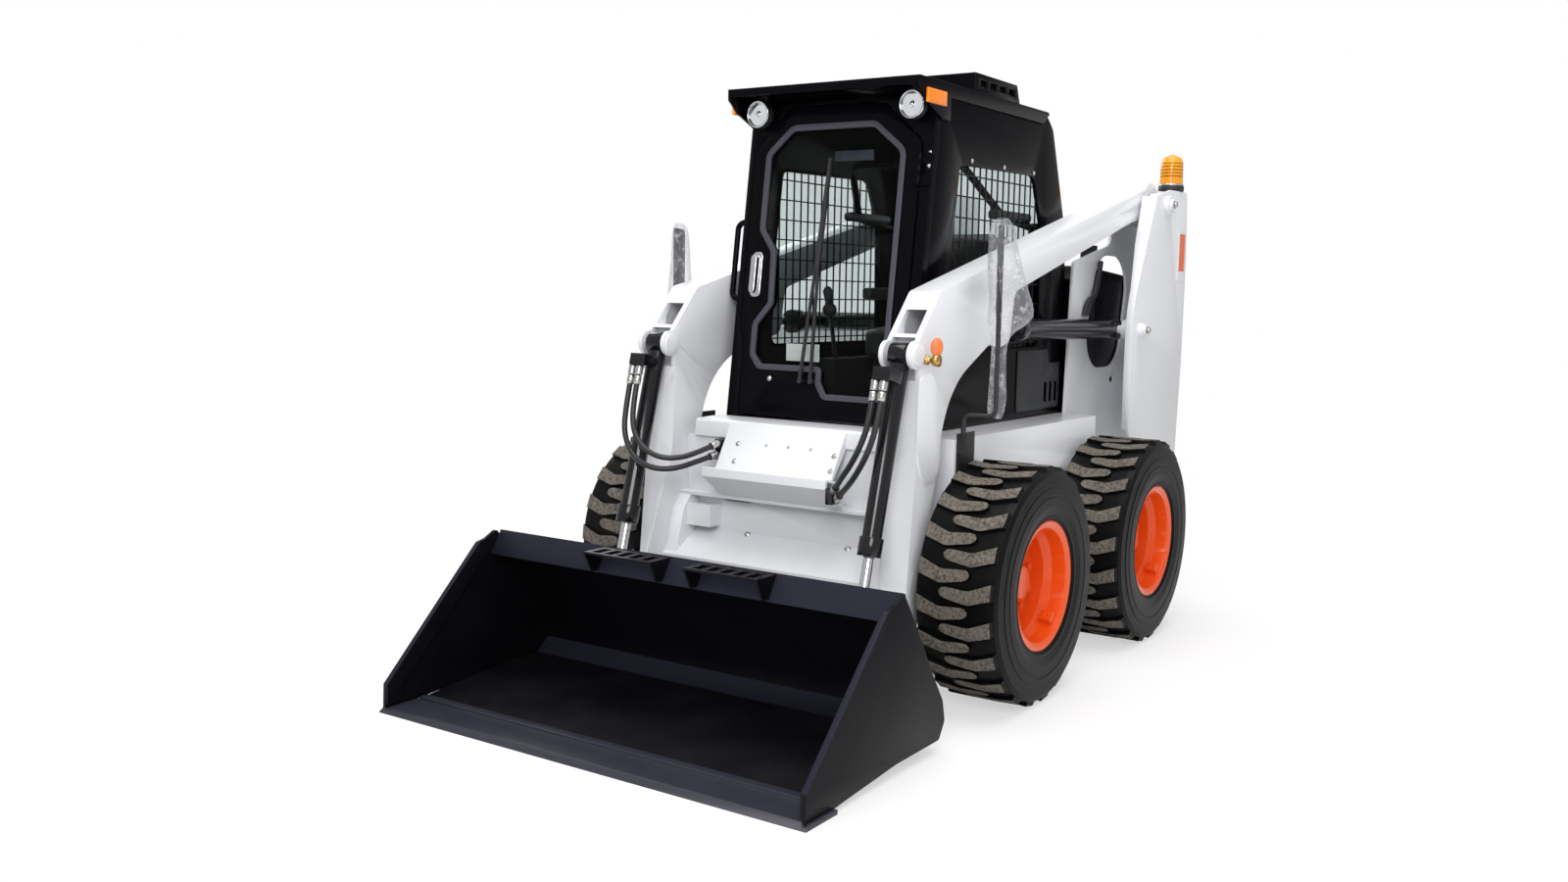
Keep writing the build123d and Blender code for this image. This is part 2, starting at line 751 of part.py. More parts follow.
door_knuckles = Part()
for rise in hinge_rises:
    cab_front += hinge_bar(hinge_pin_radius, rise - knuckle, rise + 2 * knuckle)
    for low in (rise - knuckle, rise + knuckle + knuckle_gap):
        high = low + knuckle - knuckle_gap
        cab_front += hinge_bar(9, low, high)
        far_x = hinge_x + leaf_width
        leaf = outline((hinge_x, low), (far_x, low, 8), (far_x, high, 8), (hinge_x, high))
        cab_front += on_front(leaf, -4, front_frame_near)
    low = rise + knuckle_gap
    high = rise + knuckle - knuckle_gap
    leaf = outline((hinge_x - 50, low, 8), (hinge_x, low), (hinge_x, high), (hinge_x - 50, high, 8))
    door_knuckles += hinge_bar(9, low, high) + on_front(leaf, -4, 0)
door_bore = hinge_bar(hinge_pin_radius + running, 0, post_head)
door_knuckles -= door_bore
store("cab_front", cab_front)

wall_profile = outline(
    front_point(post_foot, front_frame_far),
    front_point(post_head, front_frame_far),
    (62, cab_roof_z - cab_wall),
    (958, cab_roof_z - cab_wall, 40),
    (1020, cab_roof_z - 61, 70),
    (1156, cab_roof_z - 409, 300),
    (1239, cab_foot_z + 364, 300),
    (1239, cab_foot_z),
    (front_point(post_foot, front_frame_far)[0] + 2, cab_foot_z),
)
cab_inner = cab_half_width - cab_wall
side_window_low = cab_foot_z + 290
side_window_high = cab_roof_z - 262
side_window = outline(
    (142, side_window_low, 30),
    (165, side_window_high - 300, 200),
    (208, side_window_high - 11, 30),
    (845, side_window_high, 60),
    (929, side_window_high - 191, 60),
    (945, side_window_low, 30),
)
side_wall = across(wall_profile, cab_inner, cab_half_width)
side_wall &= block(0, cab_half_width, -400, 1400, cab_foot_z, cab_roof_z)
side_wall -= across(side_window, 0, cab_half_width)
# service cover in the lower part of the wall, with three slots through both
cover_low = cab_foot_z + 30
side_cover_face = outline(
    (745, cover_low, 15),
    (1165, cover_low, 15),
    (1165, cover_low + 190),
    (1050, cover_low + 190),
    (1035, side_window_low - 12),
    (745, side_window_low - 12),
)
side_wall += across(side_cover_face, cab_half_width, cab_half_width + 6)
for i in range(3):
    side_wall -= block(0, cab_half_width + 6, 1010 + i * 52, 1040 + i * 52, cover_low + 27, cover_low + 110)
store("cab_sides", both_sides(side_wall))

shell = across(wall_profile, -cab_inner, cab_inner)
shell &= block(-cab_inner, cab_inner, 700, 1400, cab_foot_z, cab_roof_z)
rear_sheet = shell - Pos(0, -cab_wall, 0) * shell
rear_sheet &= block(-cab_inner, cab_inner, 940, 1400, cab_foot_z, cab_roof_z)
rear_window_half = cab_half_width - 88
rear_window_low = cab_foot_z + 475
rear_window_high = cab_roof_z - 185
pane_lap = 15.0
cab_rear = rear_sheet - block(-rear_window_half, rear_window_half, 900, 1400, rear_window_low, rear_window_high)
store("cab_rear", cab_rear)
rear_pane = Pos(0, -cab_wall, 0) * shell - Pos(0, -cab_wall - glass_thickness, 0) * shell
rear_pane &= block(
    -rear_window_half - pane_lap,
    rear_window_half + pane_lap,
    940,
    1400,
    rear_window_low - pane_lap,
    rear_window_high + pane_lap,
)
side_pane = across(offset(side_window, pane_lap), cab_inner - glass_thickness, cab_inner)
store("cab_glass", both_sides(side_pane) + rear_pane)

# welded grilles in the side windows, cells 50 wide and 78 high
grille_pitch_y = 50.0
grille_pitch_z = 78.0
grille_wire = 5.0
grille_x = cab_inner + 2
side_wires = Part()
for i in range(int(820 / grille_pitch_y)):
    y = 135 + i * grille_pitch_y
    side_wires += block(grille_x, grille_x + grille_wire, y, y + grille_wire, side_window_low, side_window_high)
for i in range(int((side_window_high - side_window_low) / grille_pitch_z) + 1):
    z = side_window_low + 19 + i * grille_pitch_z
    side_wires += block(grille_x, grille_x + grille_wire, 130, 960, z, z + grille_wire)
side_wires &= across(side_window, 0, cab_half_width)
store("side_grilles", both_sides(side_wires))

cab_floor = block(-cab_inner, cab_inner, -90, 1225, cab_foot_z, cab_foot_z + 12)
store("cab_floor", cab_floor)

# roof with its visor: a deep brow with cheeks and a row of slots over the door
roof_half = cab_half_width + 12
visor_front = -126.0
roof_plate = block(-roof_half, roof_half, visor_front, 950, cab_roof_z - cab_wall, cab_roof_z)
roof_plate += block(-roof_half, roof_half, visor_front, visor_front + 6, cab_roof_z - 30, cab_roof_z)
roof_plate = chamfer(roof_plate.edges().filter_by(Axis.X).group_by(Axis.Y)[-1].group_by(Axis.Z)[-1], 8)
cheek = outline(
    (visor_front, cab_roof_z - cab_wall),
    (visor_front, cab_roof_z - 40),
    (-68, cab_roof_z - 85, 20),
    (40, cab_roof_z - 130, 20),
    (102, cab_roof_z - 131),
    (102, cab_roof_z - cab_wall),
)
roof_plate += both_sides(across(cheek, cab_half_width, roof_half))
gutter = outline(
    (102, cab_roof_z - 50),
    (900, cab_roof_z - 50),
    (940, cab_roof_z - cab_wall),
    (102, cab_roof_z - cab_wall),
)
roof_plate += both_sides(across(gutter, cab_half_width, roof_half))
visor_slots = 7
for i in range(visor_slots):
    x = -150 + i * 54
    roof_plate -= block(x - 16, x + 16, -96, -84, cab_roof_z - 20, cab_roof_z + 5)
store("cab_roof", roof_plate)

air_box_profile = outline((304, cab_roof_z), (304, cab_roof_z + 70), (660, cab_roof_z + 70, 10), (690, cab_roof_z))
air_box_half = cab_half_width + 2
air_box = across(air_box_profile, -air_box_half, air_box_half)
for i in range(4):
    air_box -= block(air_box_half - 20, air_box_half, 350 + i * 80, 400 + i * 80, cab_roof_z + 24, cab_roof_z + 46)
store("air_box", air_box)

lamp_radius = 50.0
lamp_x = cab_half_width - 67
lamp_z = cab_roof_z - 84
face = Plane(origin=(lamp_x, -36, lamp_z), z_dir=(0, 1, 0))
work_lamp = extrude(face * Circle(lamp_radius), 26)
work_lamp += extrude(face.offset(26) * Circle(34), 20)
work_lamp += block(lamp_x - 14, lamp_x + 14, -14, 4, lamp_z, cab_roof_z - cab_wall)
store("work_lamps", both_sides(work_lamp))
marker_lamp = block(roof_half, roof_half + 12, -84, 50, cab_roof_z - 87, cab_roof_z - 37)
store("marker_lamps", both_sides(marker_lamp))

# grab handle beside the door, on the right-hand post
handle_x = -cab_half_width - 38
grab_low = front_point(452, 22)
grab_high = front_point(745, 22)
grab_route = [
    (-cab_half_width, *grab_low),
    (handle_x, *grab_low),
    (handle_x, *grab_high),
    (-cab_half_width, *grab_high),
]
store("grab_handle", bent_tube(grab_route, 28, 11))

# ---------------------------------------------------------------- door
door_panel = on_front(door_outline - window_outline, 0, door_thickness)
door_hollow = offset(door_outline, -14) - offset(window_outline, 14)
door_panel -= on_front(door_hollow, 6, door_thickness + 1)
latch_x = -cab_half_width + 91
latch_back = outline(
    (latch_x - 38, 440, 10),
    (latch_x + 57, 440, 10),
    (latch_x + 57, 640, 10),
    (latch_x - 38, 640, 10),
)
latch_box = on_front(latch_back, 6, door_thickness)
door_frame = door_panel + latch_box + door_knuckles
store("door_frame", door_frame)
seal_outside = offset(window_outline, 13)
door_seal = on_front(seal_outside - offset(window_outline, -9), -7, 0)
door_seal += on_front(window_outline - offset(window_outline, -9), 0, 6)
store("door_seal", door_seal)
store("door_glass", on_front(window_outline, 6, 6 + glass_thickness))
latch_plate = outline(
    (latch_x - 23, 457, 18),
    (latch_x + 23, 457, 18),
    (latch_x + 23, 627, 18),
    (latch_x - 23, 627, 18),
)
latch_grip = outline(
    (latch_x - 15, 470, 12),
    (latch_x + 11, 470, 12),
    (latch_x + 11, 612, 12),
    (latch_x - 15, 612, 12),
)
store("door_latch", on_front(latch_plate, -12, 0) + on_front(latch_grip, -34, -12))
wiper = on_front(Pos(-62, 150) * Circle(9) + Pos(-15, 150) * Circle(9), -22, 0)
wiper += on_front(outline((-68, 150), (-56, 150), (-30, 583), (-40, 583)), -22, -14)
wiper += on_front(outline((-21, 150), (-9, 150), (-20, 583), (-30, 583)), -22, -14)
blade_head = window_head - 122
wiper += on_front(outline((-40, 560), (-18, 560), (-6, blade_head), (-18, blade_head)), -26, -14)
store("wiper", wiper)

# ---------------------------------------------------------------- inside the cab
seat = block(-200, 200, 600, 980, cab_foot_z + 12, 1170)
cushion = across(outline((560, 1170, 10), (560, 1262, 40), (1000, 1240, 20), (1000, 1170, 10)), -235, 235)
backrest = across(outline((960, 1235, 20), (1050, 1235, 20), (1140, 1660, 40), (1060, 1690, 40)), -225, 225)
armrest = across(outline((640, 1395, 15), (640, 1440, 15), (1060, 1440), (1060, 1395)), 225, 285)
store("seat", seat + cushion + backrest + both_sides(armrest))
console_x = cab_half_width - 81
console = block(console_x - 55, console_x + 55, 420, 900, cab_foot_z + 12, 1130)
lever_top = (console_x - 17, 430, 1330)
lever = bar((console_x - 7, 500, 1120), lever_top, 9) + Pos(*lever_top) * Sphere(30)
store("controls", both_sides(console + lever))
# the restraint bar is raised: its arms run forward from their pivots and rise to a bar under the roof
bar_x = cab_half_width - 63
bar_pivot = (1000, cab_roof_z - 465)
bar_knee = (700, cab_roof_z - 432)
bar_head = (490, cab_roof_z - 232)
bar_route = [
    (-bar_x, *bar_pivot),
    (-bar_x, *bar_knee),
    (-bar_x + 90, *bar_head),
    (bar_x - 90, *bar_head),
    (bar_x, *bar_knee),
    (bar_x, *bar_pivot),
]
lap_bar = bent_tube(bar_route, 60, 15)
lap_bar += both_sides(cross_pin(bar_pivot, 24, bar_x - 12, cab_inner))
store("lap_bar", lap_bar)

# ---------------------------------------------------------------- mirrors, beacon and reflectors
mirror_bracket = block(case_outer_x, case_outer_x + 6, -97, 30, 786, 926)
mirror_bracket += block(case_outer_x, case_outer_x + 36, -97, -70, 860, 926)
post_x = case_outer_x + 130
post_top = 1640.0
mirror_post = bent_tube(
    [
        (case_outer_x + 19, -84, 920),
        (case_outer_x + 19, -84, 992),
        (post_x, -64, 992),
        (post_x, -64, post_top),
    ],
    24,
    9,
)
# both heads are swung the same way, back and to the machine's right, about their posts
head_turn = 28.0
mirror_head = block(-8, 8, -12, 140, post_top - 310, post_top)
mirror_head = fillet(mirror_head.edges().filter_by(Axis.X), 30)
mirror_head = Rot(0, 0, head_turn) * mirror_head
mirrors = both_sides(mirror_bracket + mirror_post)
for x in (-post_x, post_x):
    mirrors += Pos(x, -64, 0) * mirror_head
store("mirrors", mirrors)
beacon_seat = Pos(tower_outer_x - 50, 1908, 0)
beacon_base = beacon_seat * extrude(Plane.XY.offset(beacon_foot) * Circle(58), 26)
store("beacon_base", beacon_base)
dome_foot = beacon_foot + 26
dome_profile = outline(
    (0, dome_foot),
    (52, dome_foot),
    (50, dome_foot + 102),
    (40, dome_foot + 128, 12),
    (0, dome_foot + 143),
)
dome = revolve(Plane.XZ * dome_profile, Axis.Z, 360)
store("beacon_lens", beacon_seat * dome)
reflector = block(tower_outer_x, tower_outer_x + 3, 1905, 1995, 1486, 1713)
store("reflectors", both_sides(reflector))

# ---------------------------------------------------------------- bucket
bucket_inner_x = bucket_half_width - 22
shell_outside = [(-1249, 4), (-919, 38), (-700, 46), (-636, 100), (-643, 164), (-869, 500)]
shell_inside = [(-878, 495), (-654, 160), (-646, 104), (-704, 56), (-919, 48), (-1249, 14)]
bucket_section = outline(*shell_outside, *shell_inside)
beam_section = outline((-926, 459), (-880, 541), (-871, 536), (-868, 500), (-838, 455), (-846, 451))
beam_inside = outline((-914, 461), (-880, 523), (-876, 498), (-848, 461))
bucket_shell = across(bucket_section, -bucket_inner_x, bucket_inner_x)
bucket_shell += across(beam_section, -bucket_inner_x, bucket_inner_x)
bucket_shell -= across(beam_inside, -bucket_inner_x + 20, bucket_inner_x - 20)
store("bucket_shell", bucket_shell)
side_plate = across(
    outline(
        (-1392, 16),
        (-1389, 95),
        (-986, 510, 20),
        (-948, 519, 10),
        (-899, 545, 14),
        (-818, 430),
        (-725, 282),
        (-643, 164, 30),
        (-627, 97, 20),
        (-661, 44, 15),
        (-919, 42),
        (-1249, 16),
    ),
    bucket_inner_x,
    bucket_inner_x + bucket_side_plate,
)
edge_strip = outline((-1390, 30), (-1389, 95), (-986, 510), (-945, 472), (-1330, 76), (-1330, 30))
side_plate += across(edge_strip, bucket_inner_x - 8, bucket_inner_x)
store("bucket_sides", both_sides(side_plate))
edge_section = outline((-1404, 0), (-1249, 0), (-1249, 14), (-1262, 16), (-1380, 16))
weld_section = outline((-1262, 14), (-1249, 14), (-1225, 18), (-1225, 24), (-1262, 24))
cutting_edge = across(edge_section, -bucket_half_width, bucket_half_width)
cutting_edge += across(weld_section, -bucket_inner_x + 10, bucket_inner_x - 10)
store("cutting_edge", cutting_edge)
treads = Part()
for x_low, x_high in ((-331, -43), (90, 378)):
    tread = across(outline((-985, 530), (-985, 538), (-882, 538), (-887, 530)), x_low, x_high)
    for i in range(5):
        slot_x = x_low + 24 + i * 52
        tread -= block(slot_x, slot_x + 32, -970, -905, 524, 544)
    cheek_face = outline((-985, 530), (-887, 530), (-922, 467), (-950, 467))
    treads += tread + across(cheek_face, x_low, x_low + 8) + across(cheek_face, x_high - 8, x_high)
store("bucket_steps", treads)


def back_point(up, out):
    """The (y, z) of a point up the bucket's back and behind it."""
    return (-643 - 0.558 * up + 0.830 * out, 164 + 0.830 * up + 0.558 * out)


hitch_plate = 14.0
hitch_half = arm_outer_x + 25
carrier_section = outline(
    back_point(2, 0),
    back_point(330, 0),
    back_point(330, hitch_plate),
    back_point(2, hitch_plate),
)
hook_section = outline(
    back_point(300, hitch_plate - 1),
    back_point(330, hitch_plate - 1),
    back_point(330, 40),
    back_point(316, 40),
)
carrier = across(carrier_section, -hitch_half, hitch_half) + across(hook_section, -hitch_half, hitch_half)
rod_gap = outline(back_point(40, -30), back_point(260, -30), back_point(260, 60), back_point(40, 60))
carrier -= both_sides(across(rod_gap, arm_middle_x - 51, arm_middle_x + 51))
ear_face = outline(
    back_point(2, hitch_plate - 1),
    back_point(250, hitch_plate - 1),
    (-646, 366, 20),
    (-594, 356, 20),
    (-468, 220, 20),
    (-480, 158, 20),
    (-560, 130, 20),
)
ear_face += Pos(*bucket_pin) * Circle(46) + Pos(*tilt_rod_pin) * Circle(40)
ear_inner = across(ear_face, arm_inner_x - 19, arm_inner_x - 5)
ear_outer = across(ear_face, arm_outer_x + 5, arm_outer_x + 19)
foot_pin = cross_pin(bucket_pin, pin_radius + 6 - running, arm_inner_x - 26, arm_outer_x + 26)
stub_inner = cross_pin(tilt_rod_pin, pin_radius, arm_inner_x - 24, arm_middle_x - 30)
stub_outer = cross_pin(tilt_rod_pin, pin_radius, arm_middle_x + 30, arm_outer_x + 24)
ears = ear_inner + ear_outer + foot_pin + stub_inner + stub_outer
store("hitch", carrier + both_sides(ears))

# ---------------------------------------------------------------- tilt hoses
hose_radius = 10.0
tilt_uy, tilt_uz = unit(tilt_base_pin, tilt_rod_pin)[1:]


def port_point(side, port, down):
    """A point on the line of a tilt cylinder's hose port, some way down from the pin."""
    y = tilt_base_pin[0] + tilt_uy * down + tilt_uz * port_forward
    z = tilt_base_pin[1] + tilt_uz * down - tilt_uy * port_forward
    return (side * arm_middle_x + port_offsets[port], y, z)


first_run = 108.0
hose_start = port_end + 0.6      # the hose's end, just clear of its ferrule
hose_routes = {
    "hose_right_outer": [
        port_point(-1, 0, hose_start),
        port_point(-1, 0, port_end + first_run),
        (-535, -560, 880),
        (-478, -572, 800),
        (-404, -562, 766),
        (-337, -520, 764),
        (-298, -450, 784),
        (-283, -378, 800),
    ],
    "hose_right_inner": [
        port_point(-1, 1, hose_start),
        port_point(-1, 1, port_end + first_run),
        (-494, -556, 893),
        (-438, -562, 832),
        (-368, -548, 804),
        (-314, -502, 806),
        (-289, -438, 822),
        (-278, -378, 838),
    ],
    "hose_left_inner": [
        port_point(1, 0, hose_start),
        port_point(1, 0, port_end + first_run),
        (456, -540, 906),
        (410, -522, 842),
        (356, -488, 794),
        (308, -448, 752),
    ],
    "hose_left_outer": [
        port_point(1, 1, hose_start),
        port_point(1, 1, port_end + first_run),
        (490, -540, 898),
        (440, -522, 824),
        (380, -486, 766),
        (322, -444, 726),
    ],
}
hose_blocks = block(-300, -252, -325, beam_front, 785, 861) + block(265, 291, -445, -395, 690, 745)
ferrule_lengths = {
    "hose_right_outer": 52,
    "hose_right_inner": 53,
    "hose_left_inner": 30,
    "hose_left_outer": 46,
}
for name, points in hose_routes.items():
    end = Vector(*points[-1])
    reach = (end - Vector(*points[-2])).normalized() * ferrule_lengths[name]
    hose_blocks += bar(points[-1], tuple(end + reach), ferrule_radius)
store("hose_blocks", hose_blocks)


def cord_radii(points):
    """The tangent arcs' radii at a route's inner points."""
    radii = []
    for i in range(1, len(points) - 1):
        before = Vector(*points[i]) - Vector(*points[i - 1])
        after = Vector(*points[i + 1]) - Vector(*points[i])
        half_turn = radians(before.get_angle(after)) / 2
        radii.append(0.45 * min(before.length, after.length) / tan(half_turn))
    return radii


for name, points in hose_routes.items():
    radii = cord_radii(points)
    store(name, bent_tube(points, radii, hose_radius))
    lengths = [round((Vector(*b) - Vector(*a)).length) for a, b in zip(points, points[1:])]
    print(name, "radii", [round(r) for r in radii], "runs", lengths)
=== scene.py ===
# %% [markdown]
# # A skid steer loader
# The real machine is a white steel tub on four driven wheels, with two lift arms, a black cab and a bucket.
# Its plates, tubes and wheels come ready from the CAD frame, which is loaded first and never moved. They
# could be modelled again here, but the CAD solids already have their true sizes and their joints. So this
# lesson gives those parts their finishes, and models what a maker adds last: tyre tread with worn lugs,
# hoses, bolts, lamp lenses, the seat's upholstery and the film that new mirrors are wrapped in.

# %% Load the frame
import bpy
import bmesh
import math
from mathutils import Matrix, Vector, noise


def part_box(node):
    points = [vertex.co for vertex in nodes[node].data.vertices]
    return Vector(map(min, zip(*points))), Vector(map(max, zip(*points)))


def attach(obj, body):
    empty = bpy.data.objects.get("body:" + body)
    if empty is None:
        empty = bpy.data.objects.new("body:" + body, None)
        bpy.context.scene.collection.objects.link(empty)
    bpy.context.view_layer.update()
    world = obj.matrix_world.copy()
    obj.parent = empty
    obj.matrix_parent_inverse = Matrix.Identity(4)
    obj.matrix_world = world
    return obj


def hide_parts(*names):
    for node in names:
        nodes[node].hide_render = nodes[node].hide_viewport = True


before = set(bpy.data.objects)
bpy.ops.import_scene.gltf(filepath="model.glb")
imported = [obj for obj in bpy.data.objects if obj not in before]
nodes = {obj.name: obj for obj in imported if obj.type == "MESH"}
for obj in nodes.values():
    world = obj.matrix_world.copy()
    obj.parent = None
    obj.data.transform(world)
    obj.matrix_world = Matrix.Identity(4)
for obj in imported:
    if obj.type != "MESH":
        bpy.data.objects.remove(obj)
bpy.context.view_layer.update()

# %% [markdown]
# ## The camera
# A camera is a place, a direction and a lens. The machine is seen from in front of its left wheel, at the
# height of the seat, with a slightly wide lens. A constraint could turn the camera to an aim point, but a
# small roll would be lost. So the rotation is written as the camera's own right, up and back axes, which
# are the columns of its matrix.

# %% Camera
scene = bpy.context.scene
camera_data = bpy.data.cameras.new("camera")
camera_data.lens = 30.8
camera_data.sensor_width = 36.0
camera_data.shift_x = -0.0301
camera_data.shift_y = 0.005
camera = bpy.data.objects.new("camera", camera_data)
scene.collection.objects.link(camera)
camera_right = Vector((0.83871, 0.54422, 0.01992))
camera_up = Vector((-0.08007, 0.08706, 0.99298))
camera_back = Vector((0.53866, -0.83442, 0.11659))
turn = Matrix((camera_right, camera_up, camera_back)).transposed()
camera_place = Vector((2.7114, -4.5108, 1.4062))
camera.matrix_world = Matrix.Translation(camera_place) @ turn.to_4x4()
scene.camera = camera
scene.view_settings.view_transform = "Standard"
print("camera at", tuple(round(v, 2) for v in camera_place))

# %% [markdown]
# ## Hoses
# Two hydraulic hoses feed each tilt cylinder. A hose of this kind is stiff: it leaves its ferrule straight
# and then hangs in one slow curve to its block on the arms. It could be swept as a mesh, but a curve keeps
# its route easy to change. Each route starts straight down from the cylinder's port.

# %% Hose sizes
tilt_base = Vector((0, -0.390, 1.205))
tilt_end = Vector((0, -0.625, 0.335))
front_axle_y = -0.308
hose_radius = 0.010
port_forward = 0.080
hose_start = 0.1406
straight_end = 0.248
down = (tilt_end - tilt_base).normalized()
forward = Vector((0, down.z, -down.y))


def port_point(x, distance):
    """A point below a tilt cylinder's hose port, measured from the front axle."""
    point = tilt_base + down * distance + forward * port_forward
    return (x, point.y, point.z)


print("a hose is", 2 * hose_radius, "m across")

# %% Hose routes
hose_routes = {
    "hose_right_outer": [
        port_point(-0.547, hose_start),
        port_point(-0.547, straight_end),
        (-0.535, -0.560, 0.880),
        (-0.478, -0.572, 0.800),
        (-0.404, -0.562, 0.766),
        (-0.337, -0.520, 0.764),
        (-0.298, -0.450, 0.784),
        (-0.283, -0.378, 0.800),
    ],
    "hose_right_inner": [
        port_point(-0.515, hose_start),
        port_point(-0.515, straight_end),
        (-0.494, -0.556, 0.893),
        (-0.438, -0.562, 0.832),
        (-0.368, -0.548, 0.804),
        (-0.314, -0.502, 0.806),
        (-0.289, -0.438, 0.822),
        (-0.278, -0.378, 0.838),
    ],
    "hose_left_inner": [
        port_point(0.483, hose_start),
        port_point(0.483, straight_end),
        (0.456, -0.540, 0.906),
        (0.410, -0.522, 0.842),
        (0.356, -0.488, 0.794),
        (0.308, -0.448, 0.752),
    ],
    "hose_left_outer": [
        port_point(0.515, hose_start),
        port_point(0.515, straight_end),
        (0.490, -0.540, 0.898),
        (0.440, -0.522, 0.824),
        (0.380, -0.486, 0.766),
        (0.322, -0.444, 0.726),
    ],
}
print("hose routes", len(hose_routes))

# %% [markdown]
# ## From route to hose
# A NURBS curve of order 3 passes close to its control points without a kink, which is how a stiff hose
# hangs. Its bevel gives the tube. The bevel is 1 and each point's radius is the hose's, so that the
# curve's own box is as slim as the hose. Before it is placed, the curve's length is measured on a copy
# without a bevel, because a hose is ordered by its length.

# %% Hose curves


def hose_curve(name, points, radius):
    """A NURBS curve along a route that is given from the front axle."""
    curve = bpy.data.curves.new(name, "CURVE")
    curve.dimensions = "3D"
    curve.resolution_u = 16
    curve.bevel_depth = 1.0 if radius else 0.0
    curve.bevel_resolution = 6
    curve.use_fill_caps = True
    spline = curve.splines.new("NURBS")
    spline.points.add(len(points) - 1)
    for control, (x, y, z) in zip(spline.points, points):
        control.co = (x, y + front_axle_y, z, 1)
        control.radius = radius
    spline.order_u = 3
    spline.use_endpoint_u = True
    return curve


def centreline_length(points):
    """Length of the smooth curve through a hose's route."""
    probe = bpy.data.objects.new("probe", hose_curve("probe", points, 0))
    line = bpy.data.meshes.new_from_object(probe)
    places = [v.co for v in line.vertices]
    length = sum((b - a).length for a, b in zip(places, places[1:]))
    bpy.data.objects.remove(probe)
    bpy.data.meshes.remove(line)
    return length


def in_row_frame(point):
    """A route's point, moved from the front axle to the frame's own origin."""
    return Vector(point) + Vector((0, front_axle_y, 0))


# %% Make the hoses
hoses = {}
for name, points in hose_routes.items():
    hose = bpy.data.objects.new(f"{name}_rubber", hose_curve(f"{name}_rubber", points, hose_radius))
    scene.collection.objects.link(hose)
    length = centreline_length(points)
    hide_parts(name)
    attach(hose, "arms")
    hoses[name] = hose
    print(name, round(length, 3), "m")

# %% [markdown]
# ## Shared shader groups
# Dust, the skin of the paint and scuffs appear on many of the machine's finishes. Each could be copied
# from material to material, but then a change would have to be made many times. So each is built once as
# a node group with named inputs, and every material places it with its own values. These helpers make a
# group's sockets and its most common nodes.

# %% Group helpers


def new_group(name, inputs, outputs):
    """A shader node group with named sockets: name, socket type and default value."""
    group = bpy.data.node_groups.new(name, "ShaderNodeTree")
    for label, kind, value in inputs:
        socket = group.interface.new_socket(label, in_out="INPUT", socket_type=kind)
        if value is not None:
            socket.default_value = value
    for label, kind in outputs:
        group.interface.new_socket(label, in_out="OUTPUT", socket_type=kind)
    return group, group.nodes.new("NodeGroupInput"), group.nodes.new("NodeGroupOutput")


def wire(tree, source, target):
    """Join two sockets, or set a socket from a plain value."""
    if hasattr(source, "links"):
        tree.links.new(source, target)
    else:
        target.default_value = source


# %% Math nodes


def math_node(tree, operation, a, b=0.0, clamp=False):
    """One Math node, and its output."""
    node = tree.nodes.new("ShaderNodeMath")
    node.operation = operation
    node.use_clamp = clamp
    wire(tree, a, node.inputs[0])
    wire(tree, b, node.inputs[1])
    return node.outputs[0]


def times(tree, a, b, clamp=False):
    """Two values multiplied."""
    return math_node(tree, "MULTIPLY", a, b, clamp)


def plus(tree, a, b, clamp=False):
    """Two values added."""
    return math_node(tree, "ADD", a, b, clamp)


# %% Noise, range and mix nodes


def noise_node(tree, coord, scale, detail=4.0, rough=0.5):
    """A noise texture's value."""
    node = tree.nodes.new("ShaderNodeTexNoise")
    wire(tree, coord, node.inputs["Vector"])
    wire(tree, scale, node.inputs["Scale"])
    node.inputs["Detail"].default_value = detail
    node.inputs["Roughness"].default_value = rough
    return node.outputs["Fac"]


def ramp_node(tree, value, low, high):
    """Value stretched from low..high to 0..1, and clamped."""
    node = tree.nodes.new("ShaderNodeMapRange")
    wire(tree, value, node.inputs["Value"])
    wire(tree, low, node.inputs["From Min"])
    wire(tree, high, node.inputs["From Max"])
    return node.outputs["Result"]


def mix_colour(tree, factor, a, b):
    """Two colours mixed by a factor."""
    node = tree.nodes.new("ShaderNodeMix")
    node.data_type = "RGBA"
    wire(tree, factor, node.inputs[0])
    wire(tree, a, node.inputs[6])
    wire(tree, b, node.inputs[7])
    return node.outputs[2]


# %% [markdown]
# ## Settled dust
# Dust lies on faces that look up and gathers low down, near the ground. It could be painted on by hand,
# but that would have to be done again for every piece. Here the mask is computed: height and the way that
# a face looks say where dust may lie, and two noises break it into patches and grains.

# %% Dust group
dust_group, dust_in, dust_out = new_group(
    "settled_dust",
    [
        ("Coordinate", "NodeSocketVector", None),
        ("Amount", "NodeSocketFloat", 0.5),
        ("Patch scale", "NodeSocketFloat", 6.0),
        ("Low height", "NodeSocketFloat", 0.0),
        ("High height", "NodeSocketFloat", 1.2),
    ],
    [("Mask", "NodeSocketFloat")],
)
grain_scale = 260.0
patches = noise_node(dust_group, dust_in.outputs["Coordinate"], dust_in.outputs["Patch scale"], 6.0, 0.6)
grains = noise_node(dust_group, dust_in.outputs["Coordinate"], grain_scale, 3.0, 0.7)
facing = dust_group.nodes.new("ShaderNodeNewGeometry")
facing_up = dust_group.nodes.new("ShaderNodeSeparateXYZ")
wire(dust_group, facing.outputs["Normal"], facing_up.inputs[0])
height = dust_group.nodes.new("ShaderNodeSeparateXYZ")
wire(dust_group, dust_in.outputs["Coordinate"], height.inputs[0])
low_share = 0.6
facing_share = 0.6
low_down = dust_group.nodes.new("ShaderNodeMapRange")
wire(dust_group, height.outputs["Z"], low_down.inputs["Value"])
wire(dust_group, dust_in.outputs["High height"], low_down.inputs["From Min"])
wire(dust_group, dust_in.outputs["Low height"], low_down.inputs["From Max"])
lying = ramp_node(dust_group, facing_up.outputs["Z"], -0.3, 1.0)
